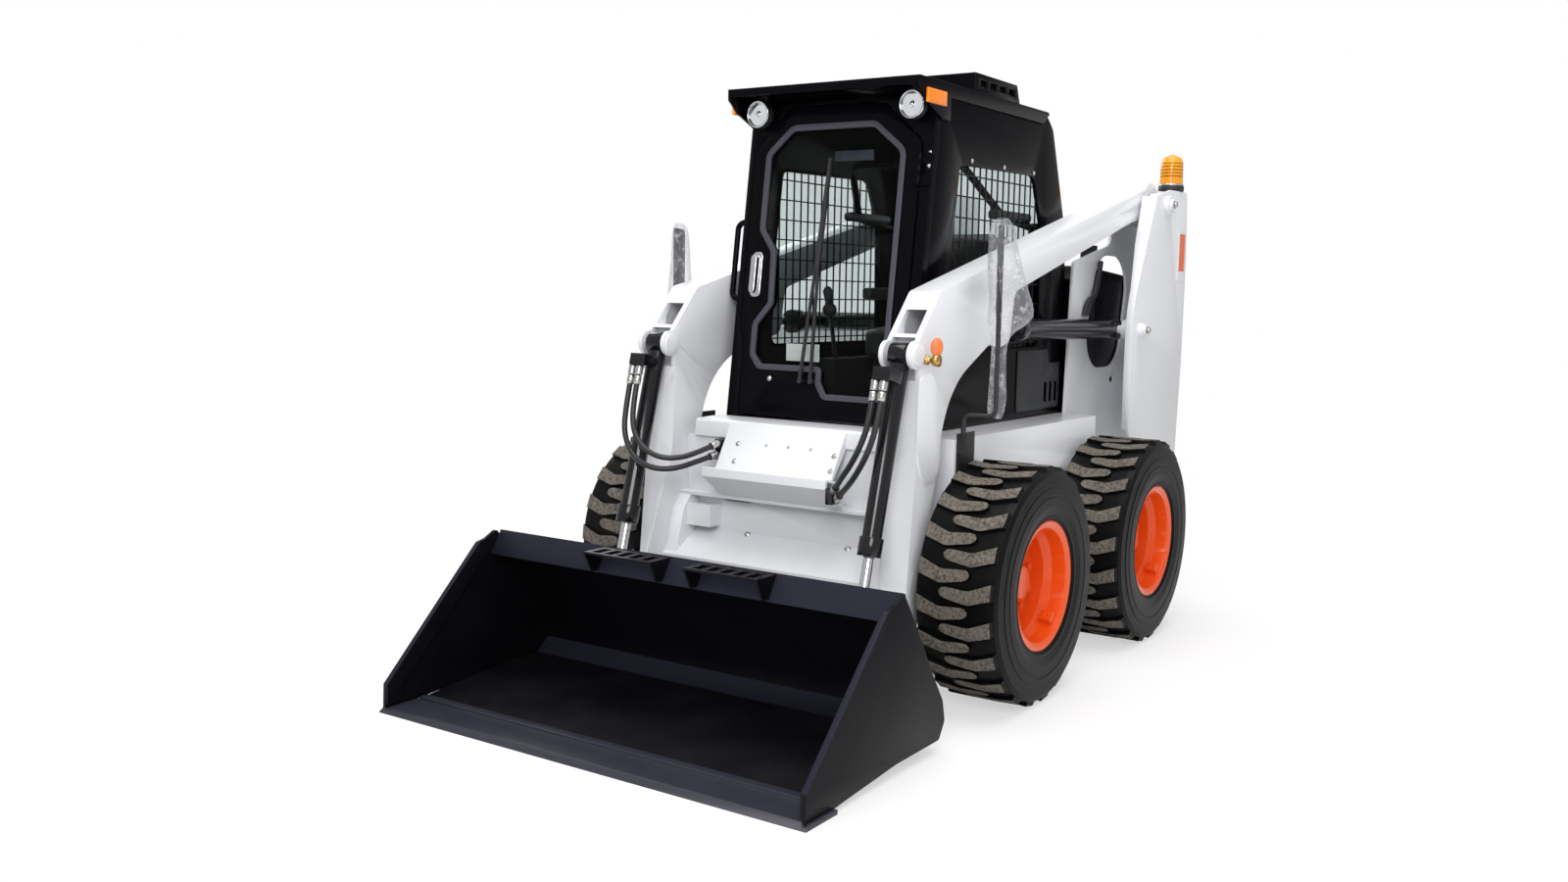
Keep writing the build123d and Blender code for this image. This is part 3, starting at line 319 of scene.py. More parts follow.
from_height = times(dust_group, low_down.outputs["Result"], low_share)
where = plus(dust_group, from_height, times(dust_group, lying, facing_share))
spread = times(dust_group, ramp_node(dust_group, patches, 0.38, 0.75), where)
grainy = times(dust_group, spread, ramp_node(dust_group, grains, 0.2, 0.8))
mask = times(dust_group, grainy, dust_in.outputs["Amount"], clamp=True)
wire(dust_group, mask, dust_out.inputs["Mask"])
print(dust_group.name, len(dust_group.nodes), "nodes")

# %% [markdown]
# ## The skin of the paint
# Sprayed plate shows faint orange peel and is a little wavy, which bends what it reflects. Bending the
# mesh itself would cost many faces, so the group puts out a height for a Bump node, and a roughness that
# drifts a little, as wiped paint does.

# %% Paint skin group
skin_group, skin_in, skin_out = new_group(
    "paint_skin",
    [
        ("Coordinate", "NodeSocketVector", None),
        ("Peel scale", "NodeSocketFloat", 500.0),
        ("Wave scale", "NodeSocketFloat", 9.0),
        ("Roughness", "NodeSocketFloat", 0.25),
        ("Variation", "NodeSocketFloat", 0.08),
    ],
    [("Height", "NodeSocketFloat"), ("Roughness", "NodeSocketFloat")],
)
peel_share = 0.35
smudge_scale = 14.0
peel = noise_node(skin_group, skin_in.outputs["Coordinate"], skin_in.outputs["Peel scale"], 2.0, 0.5)
wave = noise_node(skin_group, skin_in.outputs["Coordinate"], skin_in.outputs["Wave scale"], 2.0, 0.5)
height_sum = plus(skin_group, times(skin_group, peel, peel_share), wave)
wire(skin_group, height_sum, skin_out.inputs["Height"])
smudges = noise_node(skin_group, skin_in.outputs["Coordinate"], smudge_scale, 5.0, 0.65)
centred = math_node(skin_group, "SUBTRACT", smudges, 0.5)
swing = times(skin_group, centred, skin_in.outputs["Variation"])
drift = plus(skin_group, swing, skin_in.outputs["Roughness"])
wire(skin_group, drift, skin_out.inputs["Roughness"])
print(skin_group.name, len(skin_group.nodes), "nodes")

# %% [markdown]
# ## Scuffs
# Handling leaves thin pale streaks on plate. Modelled scratches would be far too fine for a mesh. A noise
# that is stretched along one axis gives streaks, and a second, broad noise keeps them to some areas.

# %% Scuff group
scuff_group, scuff_in, scuff_out = new_group(
    "scuffs",
    [
        ("Coordinate", "NodeSocketVector", None),
        ("Stretch", "NodeSocketVector", (4.0, 60.0, 60.0)),
        ("Amount", "NodeSocketFloat", 0.4),
    ],
    [("Mask", "NodeSocketFloat")],
)
stretched = scuff_group.nodes.new("ShaderNodeVectorMath")
stretched.operation = "MULTIPLY"
wire(scuff_group, scuff_in.outputs["Coordinate"], stretched.inputs[0])
wire(scuff_group, scuff_in.outputs["Stretch"], stretched.inputs[1])
streaks = noise_node(scuff_group, stretched.outputs[0], 2.0, 6.0, 0.7)
areas = noise_node(scuff_group, scuff_in.outputs["Coordinate"], 3.0, 3.0, 0.5)
thin = ramp_node(scuff_group, streaks, 0.60, 0.72)
streaky = times(scuff_group, thin, ramp_node(scuff_group, areas, 0.45, 0.7))
scuffed = times(scuff_group, streaky, scuff_in.outputs["Amount"], clamp=True)
wire(scuff_group, scuffed, scuff_out.inputs["Mask"])
print("groups", [g.name for g in bpy.data.node_groups])

# %% [markdown]
# ## Materials and group nodes
# Every finish below starts the same way: a Principled shader, and coordinates that belong to the object,
# so that a pattern stays on its plate when the machine moves. Generated coordinates would stretch with
# each piece's box. Three helpers save writing that again for each finish.

# %% Material helpers


def new_material(name):
    """A material with its Principled shader and the object's own coordinates."""
    material = bpy.data.materials.new(name)
    material.use_nodes = True
    tree = material.node_tree
    shader = tree.nodes["Principled BSDF"]
    coordinate = tree.nodes.new("ShaderNodeTexCoord").outputs["Object"]
    return material, tree, shader, coordinate


def place_group(tree, group, **values):
    """A group node in a material, with its inputs set by name."""
    node = tree.nodes.new("ShaderNodeGroup")
    node.node_tree = group
    for label, value in values.items():
        wire(tree, value, node.inputs[label.replace("_", " ")])
    return node


def bump(tree, height, strength, distance):
    """A Bump node over a height."""
    node = tree.nodes.new("ShaderNodeBump")
    node.inputs["Strength"].default_value = strength
    node.inputs["Distance"].default_value = distance
    wire(tree, height, node.inputs["Height"])
    return node.outputs["Normal"]


# %% [markdown]
# ## Painted plate
# The frame and arms are white, the cab and bucket black and the rims orange, and all were sprayed the same
# way. Separate recipes would drift apart, so one recipe serves all: a base colour, a few scuffs, dust over
# it, a clear coat and the paint's skin. Only the values differ from paint to paint.

# %% Painted plate
dust_colour = (0.30, 0.26, 0.21, 1)
dust_roughness = 0.5
scuff_gain = 1.25
scuff_lift = 0.05
skin_strength = 0.06
skin_depth = 0.002
coat_roughness = 0.08


def painted(name, colour, roughness, dust, scuff, specular, coat, low=0.0, high=1.2):
    """Sprayed paint with settled dust and a few scuffs."""
    material, tree, shader, coordinate = new_material(name)
    dusty = place_group(
        tree, dust_group, Coordinate=coordinate, Amount=dust, Low_height=low, High_height=high
    )
    skin = place_group(tree, skin_group, Coordinate=coordinate, Roughness=roughness)
    scuffed = place_group(tree, scuff_group, Coordinate=coordinate, Amount=scuff)
    lighter = tuple(min(1.0, c * scuff_gain + scuff_lift) for c in colour[:3]) + (1,)
    base = mix_colour(tree, scuffed.outputs["Mask"], colour, lighter)
    base = mix_colour(tree, dusty.outputs["Mask"], base, dust_colour)
    wire(tree, base, shader.inputs["Base Color"])
    duller = times(tree, dusty.outputs["Mask"], dust_roughness)
    rough = plus(tree, skin.outputs["Roughness"], duller, clamp=True)
    wire(tree, rough, shader.inputs["Roughness"])
    wire(tree, bump(tree, skin.outputs["Height"], skin_strength, skin_depth), shader.inputs["Normal"])
    shader.inputs["Specular IOR Level"].default_value = specular
    shader.inputs["Coat Weight"].default_value = coat
    shader.inputs["Coat Roughness"].default_value = coat_roughness
    return material


# %% The paints
white_paint = painted("white_paint", (0.80, 0.81, 0.84, 1), 0.30, 0.10, 0.05, 0.5, 0.25)
cab_black = painted("cab_black", (0.0025, 0.0025, 0.004, 1), 0.18, 0.010, 0.008, 0.06, 0.0)
bucket_black = painted("bucket_black", (0.0030, 0.0032, 0.005, 1), 0.42, 0.03, 0.05, 0.12, 0.0, high=0.6)
cylinder_black = painted("cylinder_black", (0.005, 0.005, 0.007, 1), 0.16, 0.02, 0.02, 0.45, 0.0)
wheel_orange = painted("wheel_orange", (0.78, 0.082, 0.004, 1), 0.34, 0.04, 0.03, 0.30, 0.30, high=0.8)
# The cutting edge is the bucket's black made paler and bluer, a painted reflection of the sky, with more
# scuffs than the rest.
edge_black_painted_sheen = painted("edge_black_painted_sheen", (0.026, 0.027, 0.040, 1), 0.34, 0.05, 0.20, 0.4, 0.0, high=0.6)
cover_black = painted("cover_black", (0.0025, 0.0025, 0.004, 1), 0.18, 0.010, 0.008, 0.06, 0.0)
engine_grey = painted("engine_grey", (0.07, 0.075, 0.08, 1), 0.55, 0.35, 0.2, 0.4, 0.0)
print("paints", len(bpy.data.materials))

# %% [markdown]
# ## Colour by place, and a painted reflection
# Some colours cover only part of a piece: the bucket's beam and the bend at its back face the sky, and
# their paler blue-grey is a painted reflection of the sky, while the cab's service cover is dark grey. More
# objects or face materials could do it, but the CAD nodes stay whole. So a mask says where the second colour
# goes, from the direction of a face or from its place on the machine.

# %% Mask tools


def tint_where(material, mask_of, colour):
    """Mixes another colour into a material's base where a mask is 1."""
    tree = material.node_tree
    base = tree.nodes["Principled BSDF"].inputs["Base Color"]
    source = base.links[0].from_socket
    wire(tree, mix_colour(tree, mask_of(tree), source, colour), base)


def place_of(tree):
    """The three outputs of a point's place on the machine."""
    place = tree.nodes.new("ShaderNodeSeparateXYZ")
    wire(tree, tree.nodes.new("ShaderNodeTexCoord").outputs["Object"], place.inputs[0])
    return place.outputs


def between(tree, value, low, high):
    """1 where a value lies between two limits."""
    above = math_node(tree, "GREATER_THAN", value, low)
    return times(tree, above, math_node(tree, "LESS_THAN", value, high))


# %% Masks


def facing_mask(direction, low, high):
    """A mask of the faces that look a given way, by the object's own normal."""

    def build(tree):
        normal = tree.nodes.new("ShaderNodeTexCoord").outputs["Normal"]
        dot = tree.nodes.new("ShaderNodeVectorMath")
        dot.operation = "DOT_PRODUCT"
        wire(tree, normal, dot.inputs[0])
        dot.inputs[1].default_value = direction
        return ramp_node(tree, dot.outputs["Value"], low, high)

    return build


def outside_mask(axis, limit):
    """A mask of what lies further out than a limit, on both sides of an axis."""

    def build(tree):
        reach = math_node(tree, "ABSOLUTE", place_of(tree)[axis])
        return math_node(tree, "GREATER_THAN", reach, limit)

    return build


def band_mask(axis, low, high, other, other_low, other_high):
    """A mask of what lies between two places on one axis and between two on another."""

    def build(tree):
        place = place_of(tree)
        first = between(tree, place[axis], low, high)
        return times(tree, first, between(tree, place[other], other_low, other_high))

    return build


def stripe_mask(low, high, pitch, dark_share=0.42, strength=0.75):
    """A mask of level stripes between two heights."""

    def build(tree):
        height = place_of(tree)["Z"]
        turns = math_node(tree, "FRACT", math_node(tree, "DIVIDE", height, pitch))
        stripe = math_node(tree, "LESS_THAN", turns, dark_share)
        stripe = times(tree, stripe, between(tree, height, low, high))
        return times(tree, stripe, strength)

    return build


# %% Second colours and a painted sky reflection
# A paler blue-grey on the bucket's faces that look forward and up: a painted reflection of the sky.
tint_where(bucket_black, facing_mask((0.0, -0.80, 0.60), 0.90, 0.975), (0.016, 0.017, 0.027, 1))
tint_where(cover_black, outside_mask("X", 0.4015), (0.055, 0.056, 0.060, 1))
print("tinted", bucket_black.name, cover_black.name)

# %% [markdown]
# ## Plain finishes
# Steel, rubber and plastic differ in how they answer light more than in colour. A flat colour would look
# like a drawing, because no real surface is perfectly even. So each finish mixes two close colours by
# noise, lets its roughness drift a little and has a fine grain.

# %% Noisy finish
roughness_swing = 0.12
grain_strength = 0.35


def noisy(
    name, colour, other, scale, roughness, metallic=0.0, specular=0.5, bump_depth=0.0003, bump_scale=180.0
):
    """A finish of two close colours mixed by noise, with a fine grain."""
    material, tree, shader, coordinate = new_material(name)
    cloud = noise_node(tree, coordinate, scale, 5.0, 0.6)
    wire(tree, mix_colour(tree, cloud, colour, other), shader.inputs["Base Color"])
    swing = times(tree, math_node(tree, "SUBTRACT", cloud, 0.5), roughness_swing)
    wire(tree, plus(tree, swing, roughness, clamp=True), shader.inputs["Roughness"])
    grain = noise_node(tree, coordinate, bump_scale, 4.0, 0.6)
    wire(tree, bump(tree, grain, grain_strength, bump_depth), shader.inputs["Normal"])
    shader.inputs["Metallic"].default_value = metallic
    shader.inputs["Specular IOR Level"].default_value = specular
    return material


# %% Metals
rod_chrome = noisy(
    "rod_chrome", (0.72, 0.73, 0.75, 1), (0.60, 0.61, 0.63, 1), 20.0, 0.12, metallic=1.0, bump_depth=0.00002
)
fitting_zinc = noisy(
    "fitting_zinc", (0.62, 0.62, 0.60, 1), (0.48, 0.48, 0.47, 1), 60.0, 0.30, metallic=1.0, bump_depth=0.0001
)
brass = noisy(
    "brass", (0.62, 0.38, 0.12, 1), (0.50, 0.30, 0.09, 1), 50.0, 0.28, metallic=1.0, bump_depth=0.0001
)
print("metals", rod_chrome.name, fitting_zinc.name, brass.name)

# %% Rubber, plastic and vinyl
hose_rubber = noisy("hose_rubber", (0.010, 0.010, 0.011, 1), (0.022, 0.022, 0.024, 1), 30.0, 0.42)
seal_rubber = noisy("seal_rubber", (0.040, 0.040, 0.056, 1), (0.062, 0.062, 0.080, 1), 12.0, 0.38)
black_plastic = noisy("black_plastic", (0.012, 0.012, 0.013, 1), (0.022, 0.022, 0.023, 1), 25.0, 0.50)
seat_vinyl = noisy(
    "seat_vinyl",
    (0.020, 0.020, 0.022, 1),
    (0.034, 0.034, 0.036, 1),
    16.0,
    0.48,
    bump_depth=0.0006,
    bump_scale=420.0,
)
print("dark finishes", hose_rubber.name, seal_rubber.name, black_plastic.name, seat_vinyl.name)

# %% Lenses, reflectors and small pieces
amber = noisy("amber_lens", (1.0, 0.27, 0.008, 1), (0.93, 0.22, 0.008, 1), 40.0, 0.10, bump_depth=0.0001)
reflector_red = noisy("reflector_red", (0.80, 0.80, 0.82, 1), (0.70, 0.70, 0.72, 1), 90.0, 0.30)
tint_where(reflector_red, band_mask("Y", 1.603, 1.677, "Z", 1.53, 1.70), (0.80, 0.12, 0.02, 1))
beacon_amber = noisy(
    "beacon_amber", (0.95, 0.40, 0.01, 1), (0.80, 0.28, 0.01, 1), 30.0, 0.10, bump_depth=0.0001
)
tint_where(beacon_amber, stripe_mask(1.950, 2.022, 0.0145), (0.16, 0.045, 0.005, 1))
grille_black = noisy(
    "grille_black", (0.003, 0.003, 0.004, 1), (0.007, 0.007, 0.008, 1), 30.0, 0.45, specular=0.2
)
# Near-black for a hole: painted shade.
hole_shade_black = noisy("hole_shade_black", (0.002, 0.002, 0.002, 1), (0.004, 0.004, 0.004, 1), 30.0, 0.60, specular=0.1)
boot_grey = noisy("boot_grey", (0.040, 0.046, 0.055, 1), (0.060, 0.066, 0.078, 1), 25.0, 0.30)
tag_orange = noisy("tag_orange", (0.85, 0.22, 0.06, 1), (0.70, 0.16, 0.05, 1), 90.0, 0.40)
card_white = noisy("card_white", (0.80, 0.80, 0.78, 1), (0.72, 0.72, 0.70, 1), 40.0, 0.60)
strip_silver = noisy("strip_silver", (0.30, 0.33, 0.40, 1), (0.18, 0.20, 0.25, 1), 60.0, 0.30)
print("finishes", len(bpy.data.materials))

# %% [markdown]
# ## Glass
# The cab's windows are clear safety glass with a faint tint. Alpha would make the panes vanish together
# with their gloss, so the shader's transmission lets light through instead. A low IOR keeps the panes from
# shifting what lies behind them, and a wide shallow bump smears their reflections as wiped glass does.

# %% Glass
glass_ior = 1.10
glass_specular = 0.30


def clear_glass(name, tint, clearness, roughness):
    """Window glass: mostly clear, with a tint, and reflections from the shader alone."""
    material, tree, shader, coordinate = new_material(name)
    cloud = noise_node(tree, coordinate, 3.0, 4.0, 0.6)
    paler = tuple(min(1, c * 1.05) for c in tint[:3]) + (1,)
    wire(tree, mix_colour(tree, cloud, tint, paler), shader.inputs["Base Color"])
    shader.inputs["Transmission Weight"].default_value = clearness
    shader.inputs["Roughness"].default_value = roughness
    shader.inputs["IOR"].default_value = glass_ior
    shader.inputs["Specular IOR Level"].default_value = glass_specular
    smear = noise_node(tree, coordinate, 5.0, 3.0, 0.5)
    wire(tree, bump(tree, smear, 0.02, 0.001), shader.inputs["Normal"])
    return material


# %% The two glasses
window_glass = clear_glass("window_glass", (0.72, 0.76, 0.76, 1), 1.0, 0.0)
lamp_glass = clear_glass("lamp_glass", (0.95, 0.96, 0.97, 1), 1.0, 0.05)
print("materials", len(bpy.data.materials))

# %% [markdown]
# ## Rounded plate edges
# A real plate edge is never perfectly sharp: its small round catches a line of light. The CAD meshes could
# be edited, but they stay as they are, and three modifiers round them instead. Weld joins the loose
# triangles, Decimate melts the flat ones into whole faces, and Bevel rounds what is left between them.

# %% Rounded edges
weld_distance = 0.00002
flat_angle = math.radians(1.0)
sharp_angle = math.radians(32)
round_segments = 2


def round_edges(node, width):
    """Rounds the hard edges of a CAD node by modifiers alone."""
    piece = nodes[node]
    for face in piece.data.polygons:
        face.use_smooth = True
    weld = piece.modifiers.new("weld", "WELD")
    weld.merge_threshold = weld_distance
    melt = piece.modifiers.new("melt", "DECIMATE")
    melt.decimate_type = "DISSOLVE"
    melt.angle_limit = flat_angle
    bevel = piece.modifiers.new("bevel", "BEVEL")
    bevel.width = width
    bevel.segments = round_segments
    bevel.limit_method = "ANGLE"
    bevel.angle_limit = sharp_angle
    bevel.harden_normals = True


def dress(node, material, width):
    """Gives a CAD node its finish and rounded edges."""
    piece = nodes[node]
    piece.data.materials.clear()
    piece.data.materials.append(material)
    if width:
        round_edges(node, width)


# %% [markdown]
# ## Which piece gets which finish
# Each row of this list is one finish, the width of the edge's round in metres, and the nodes that have
# both. A width per node would say the same thing many times. Thin rods, panes and grilles have no room for
# a round, so theirs is 0.

# %% Dress the CAD nodes
wheel_names = ("front_left", "front_right", "rear_left", "rear_right")
finishes = [
    (white_paint, 0.002, ["cross_member", "step_cover"]),
    (white_paint, 0.003, ["main_frame", "tower_left", "tower_right", "arm_left", "arm_right"]),
    (white_paint, 0.004, ["tail_door"]),
    (white_paint, 0.005, ["chain_cases"]),
    (engine_grey, 0.006, ["engine"]),
    (cab_black, 0.0, ["grab_handle", "lap_bar"]),
    (cab_black, 0.002, ["cab_front", "cab_rear", "cab_roof"]),
    (cab_black, 0.003, ["hood", "door_frame"]),
    (cab_black, 0.004, ["air_box"]),
    (cover_black, 0.002, ["cab_sides"]),
    (grille_black, 0.0, ["side_grilles"]),
    (window_glass, 0.0, ["cab_glass", "door_glass"]),
    (amber, 0.003, ["marker_lamps"]),
    (seal_rubber, 0.003, ["door_seal"]),
    (rod_chrome, 0.003, ["door_latch"]),
    (rod_chrome, 0.001, ["tilt_rod_left", "tilt_rod_right", "lift_rod_left", "lift_rod_right"]),
    (black_plastic, 0.002, ["cab_floor", "wiper", "mirrors"]),
    (black_plastic, 0.003, ["work_lamps"]),
    (black_plastic, 0.004, ["beacon_base"]),
    (black_plastic, 0.006, ["controls"]),
    (beacon_amber, 0.004, ["beacon_lens"]),
    (reflector_red, 0.0, ["reflectors"]),
    (seat_vinyl, 0.02, ["seat"]),
    (bucket_black, 0.0015, ["bucket_steps"]),
    (bucket_black, 0.002, ["bucket_shell"]),
    (bucket_black, 0.003, ["bucket_sides", "hitch"]),
    (edge_black_painted_sheen, 0.002, ["cutting_edge"]),
    (cylinder_black, 0.002, ["hose_blocks", "tilt_barrel_left", "tilt_barrel_right"]),
    (cylinder_black, 0.002, ["lift_barrel_left", "lift_barrel_right"]),
    (wheel_orange, 0.002, [f"rim_{wheel}" for wheel in wheel_names]),
]
for material, width, names in finishes:
    for node in names:
        dress(node, material, width)
for hose in hoses.values():
    hose.data.materials.append(hose_rubber)
print("dressed", sum(len(names) for _, _, names in finishes), "nodes")

# %% [markdown]
# ## Tyres
# A loader's tyre is a wide carcass with two rows of hooked lugs, which are worn pale on top. Spinning the
# whole section would make rings and no lugs, and cutting the lugs out by booleans would be slow. So the
# carcass is spun first, and the lugs are added to it one by one.

# %% Tyre sizes
tyre_radius = 0.4155
tyre_half = 0.1555
lug_height = 0.016
crown = tyre_radius - lug_height
shoulder_slope = 0.014
lugs_per_row = 21
bead_radius = 0.207
spin_steps = 96
print("a tyre is", 2 * tyre_radius, "m high and has", 2 * lugs_per_row, "lugs")

# %% Spinning, rounding and making objects
merge_distance = 0.00001


def spin_about_x(bm, profile, steps, closed):
    """Spins (x, radius) points about the X axis, and merges the seam and the poles."""
    verts = [bm.verts.new((x, 0, radius)) for x, radius in profile]
    ends = verts[1:] + verts[:1] if closed else verts[1:]
    edges = [bm.edges.new(pair) for pair in zip(verts, ends)]
    bmesh.ops.spin(
        bm, geom=verts + edges, cent=(0, 0, 0), axis=(1, 0, 0), angle=math.tau, steps=steps, use_merge=True
    )
    bmesh.ops.remove_doubles(bm, verts=bm.verts, dist=merge_distance)
    bmesh.ops.recalc_face_normals(bm, faces=bm.faces)


def round_off(bm, edges, width, segments):
    """Bevels edges with a round section."""
    bmesh.ops.bevel(
        bm,
        geom=edges,
        offset=width,
        offset_type="OFFSET",
        segments=segments,
        profile=0.5,
        affect="EDGES",
        material=-1,
    )


def mesh_from(bm, name):
    """Writes a bmesh to a new mesh and frees it."""
    mesh = bpy.data.meshes.new(name)
    bm.to_mesh(mesh)
    bm.free()
    return mesh


def object_from(bm, name, material, smooth=True):
    """Writes a bmesh to a new object and links it."""
    mesh = mesh_from(bm, name)
    piece = bpy.data.objects.new(name, mesh)
    scene.collection.objects.link(piece)
    mesh.materials.append(material)
    if smooth:
        for face in mesh.polygons:
            face.use_smooth = True
    return piece


# %% [markdown]
# ## The carcass and its lugs
# The carcass profile is half a section, from the bead to the middle of the tread, and is mirrored. Each lug
# starts as one face, is extruded outwards, drawn in a little at its top and bevelled. Then it is wrapped
# round the tread by turning its length into an angle. Bending it with a modifier would work for one lug,
# but forty-two would need as many objects.

# %% Tyre carcass
carcass_profile = [
    (tyre_half - 0.040, bead_radius),
    (tyre_half - 0.022, bead_radius + 0.008),
    (tyre_half - 0.016, bead_radius + 0.022),
    (tyre_half - 0.006, bead_radius + 0.030),
    (tyre_half - 0.007, bead_radius + 0.040),
    (tyre_half - 0.001, bead_radius + 0.070),
    (tyre_half, bead_radius + 0.100),
    (tyre_half - 0.002, bead_radius + 0.103),
    (tyre_half - 0.002, bead_radius + 0.108),
    (tyre_half, bead_radius + 0.111),
    (tyre_half - 0.001, bead_radius + 0.133),
    (tyre_half - 0.004, bead_radius + 0.136),
    (tyre_half - 0.004, bead_radius + 0.144),
    (tyre_half - 0.006, bead_radius + 0.175),
    (tyre_half - 0.014, crown - 0.002),
    (tyre_half - 0.040, crown + 0.001),
    (0.0, crown),
]
carcass_profile += [(-x, radius) for x, radius in reversed(carcass_profile[:-1])]
print("carcass points", len(carcass_profile))

# %% Lug sizes
lug_foot = 0.040
lug_round = 0.0035
lug_taper = (0.97, 0.90)
shoulder_start = 0.13
side_shade = 0.35
lug_outline = [
    (tyre_half - 0.004, 0.049),
    (tyre_half - 0.004, -0.013),
    (0.060, -0.039),
    (0.045, -0.0395),
    (-0.030, -0.0255),
    (-0.046, -0.0185),
    (-0.055, -0.007),
    (-0.055, 0.004),
    (-0.046, 0.0155),
    (-0.030, 0.0195),
    (0.045, 0.0135),
    (0.060, 0.016),
]
print("lug outline points", len(lug_outline))

# %% Lug


def add_lug(bm, shade, turn, mirrored):
    """One hooked lug, wrapped round the tread."""
    side = -1 if mirrored else 1
    outline = [(side * x, y) for x, y in lug_outline]
    if mirrored:
        outline.reverse()
    lug = bmesh.new()
    foot = lug.faces.new([lug.verts.new((x, y, crown - lug_foot)) for x, y in outline])
    grown = bmesh.ops.extrude_face_region(lug, geom=[foot])
    top_verts = [v for v in grown["geom"] if isinstance(v, bmesh.types.BMVert)]
    middle = sum((v.co for v in top_verts), Vector()) / len(top_verts)
    for v in top_verts:
        v.co.x = middle.x + (v.co.x - middle.x) * lug_taper[0]
        v.co.y = middle.y + (v.co.y - middle.y) * lug_taper[1]
        if side * v.co.x > shoulder_start:
            v.co.x -= side * shoulder_slope
        v.co.z = tyre_radius
    bmesh.ops.recalc_face_normals(lug, faces=lug.faces)
    top_edges = [e for e in lug.edges if min(v.co.z for v in e.verts) > crown]
    round_off(lug, top_edges, lug_round, 2)
    tops = {f for f in lug.faces if f.normal.z > 0.8 and f.calc_center_median().z > crown}
    copied = {}
    for v in lug.verts:
        angle = v.co.y / tyre_radius + turn
        copied[v] = bm.verts.new((v.co.x, math.sin(angle) * v.co.z, math.cos(angle) * v.co.z))
    for f in lug.faces:
        new_face = bm.faces.new([copied[v] for v in f.verts])
        new_face[shade] = 1.0 if f in tops else side_shade
    lug.free()


# %% Whole tyre


def tyre_mesh():
    """A whole tyre about the X axis, centred on its middle."""
    bm = bmesh.new()
    spin_about_x(bm, carcass_profile, spin_steps, closed=True)
    shade = bm.faces.layers.float.new("lug_top")
    pitch = math.tau / lugs_per_row
    for i in range(lugs_per_row):
        add_lug(bm, shade, -i * pitch, False)
        add_lug(bm, shade, -(i + 0.5) * pitch, True)
    return mesh_from(bm, "tyre")


tyre_shape = tyre_mesh()
print("tyre faces", len(tyre_shape.polygons))

# %% [markdown]
# ## Worn rubber
# Lug tops are scraped grey by the ground, and the rest of the tyre stays nearly black. A mask by height
# cannot tell them apart on a round tyre. So a face attribute remembers which faces are lug tops, and the
# material reads it to put pale grit there and to roughen them.

# %% Tyre rubber
dust_share = 0.03
side_roughness = 0.42
rougher_on_top = 0.35
side_grain = 0.12
tyre_rubber, tree, shader, coordinate = new_material("tyre_rubber")
lug_top = tree.nodes.new("ShaderNodeAttribute")
lug_top.attribute_name = "lug_top"
fine = noise_node(tree, coordinate, 90.0, 6.0, 0.7)
broad = noise_node(tree, coordinate, 11.0, 4.0, 0.6)
on_top = ramp_node(tree, lug_top.outputs["Fac"], 0.5, 0.9)
worn = times(tree, on_top, ramp_node(tree, fine, 0.05, 0.50))
worn = times(tree, worn, ramp_node(tree, broad, -0.30, 0.45))
dust_film = times(tree, ramp_node(tree, broad, 0.45, 0.85), dust_share)
rubber = mix_colour(tree, dust_film, (0.0035, 0.0035, 0.0038, 1), (0.08, 0.072, 0.064, 1))
grit = mix_colour(tree, ramp_node(tree, fine, 0.35, 0.70), (0.075, 0.066, 0.055, 1), (0.23, 0.205, 0.175, 1))
wire(tree, mix_colour(tree, worn, rubber, grit), shader.inputs["Base Color"])
rough = plus(tree, times(tree, on_top, rougher_on_top), side_roughness)
wire(tree, rough, shader.inputs["Roughness"])
grain = times(tree, fine, plus(tree, on_top, side_grain))
wire(tree, bump(tree, grain, 0.6, 0.0012), shader.inputs["Normal"])
shader.inputs["Specular IOR Level"].default_value = 0.12
print(tyre_rubber.name, len(tree.nodes), "nodes")

# %% [markdown]
# ## Tyres on their wheels
# One shape serves all four wheels. It could be modelled anew for each side, but the hooks of the lugs must
# all point one way as the machine rolls, so the right tyres are the left one's mirror image. A mirrored
# mesh is inside out, and its normals are flipped back.

# %% Put the four tyres on
for wheel in wheel_names:
    low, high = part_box(f"tyre_{wheel}")
    centre = (low + high) / 2
    mesh = tyre_shape.copy()
    if "right" in wheel:
        mesh.transform(Matrix.Scale(-1, 4, (1, 0, 0)))
        mesh.flip_normals()
    mesh.transform(Matrix.Translation(centre))
    tyre = bpy.data.objects.new(f"tyre_tread_{wheel}", mesh)
    scene.collection.objects.link(tyre)
    mesh.materials.append(tyre_rubber)
    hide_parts(f"tyre_{wheel}")
    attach(tyre, f"wheel_{wheel}")
    print(tyre.name, "at", tuple(round(v, 3) for v in centre))

# %% [markdown]
# ## Turned parts
# Bolts, sleeves, lenses and caps are turned on a lathe. A cylinder with bevels would give only the simplest
# of them. So a turned part here is what a lathe works from: a profile of (along, radius) points, spun about
# its own axis. Each part is added to a bmesh, so that several can make one object.

# %% Turned parts


def add_mesh(bm, mesh, matrix):
    """Adds a temporary mesh to a bmesh at a place, and removes the mesh."""
    mesh.transform(matrix)
    bm.from_mesh(mesh)
    bpy.data.meshes.remove(mesh)


def frame_at(place, axis):
    """The matrix that takes the X axis to an axis through a place."""
    turn = Vector((1, 0, 0)).rotation_difference(Vector(axis)).to_matrix().to_4x4()
    return Matrix.Translation(place) @ turn


def add_turned(bm, profile, place, axis, steps=28):
    """A turned part: a profile from axis to axis, spun about it."""
    part = bmesh.new()
    spin_about_x(part, profile, steps, closed=False)
    add_mesh(bm, mesh_from(part, "turned"), frame_at(place, axis))


# %% [markdown]
# ## Boxes and tubes
# Plates and blocks have small rounds on every edge, so a box here always gets its bevel. A bent tube follows
# the same kind of curve as the hoses. Extruding a ring step by step would bend it too, but with kinks.

# %% Boxes and tubes


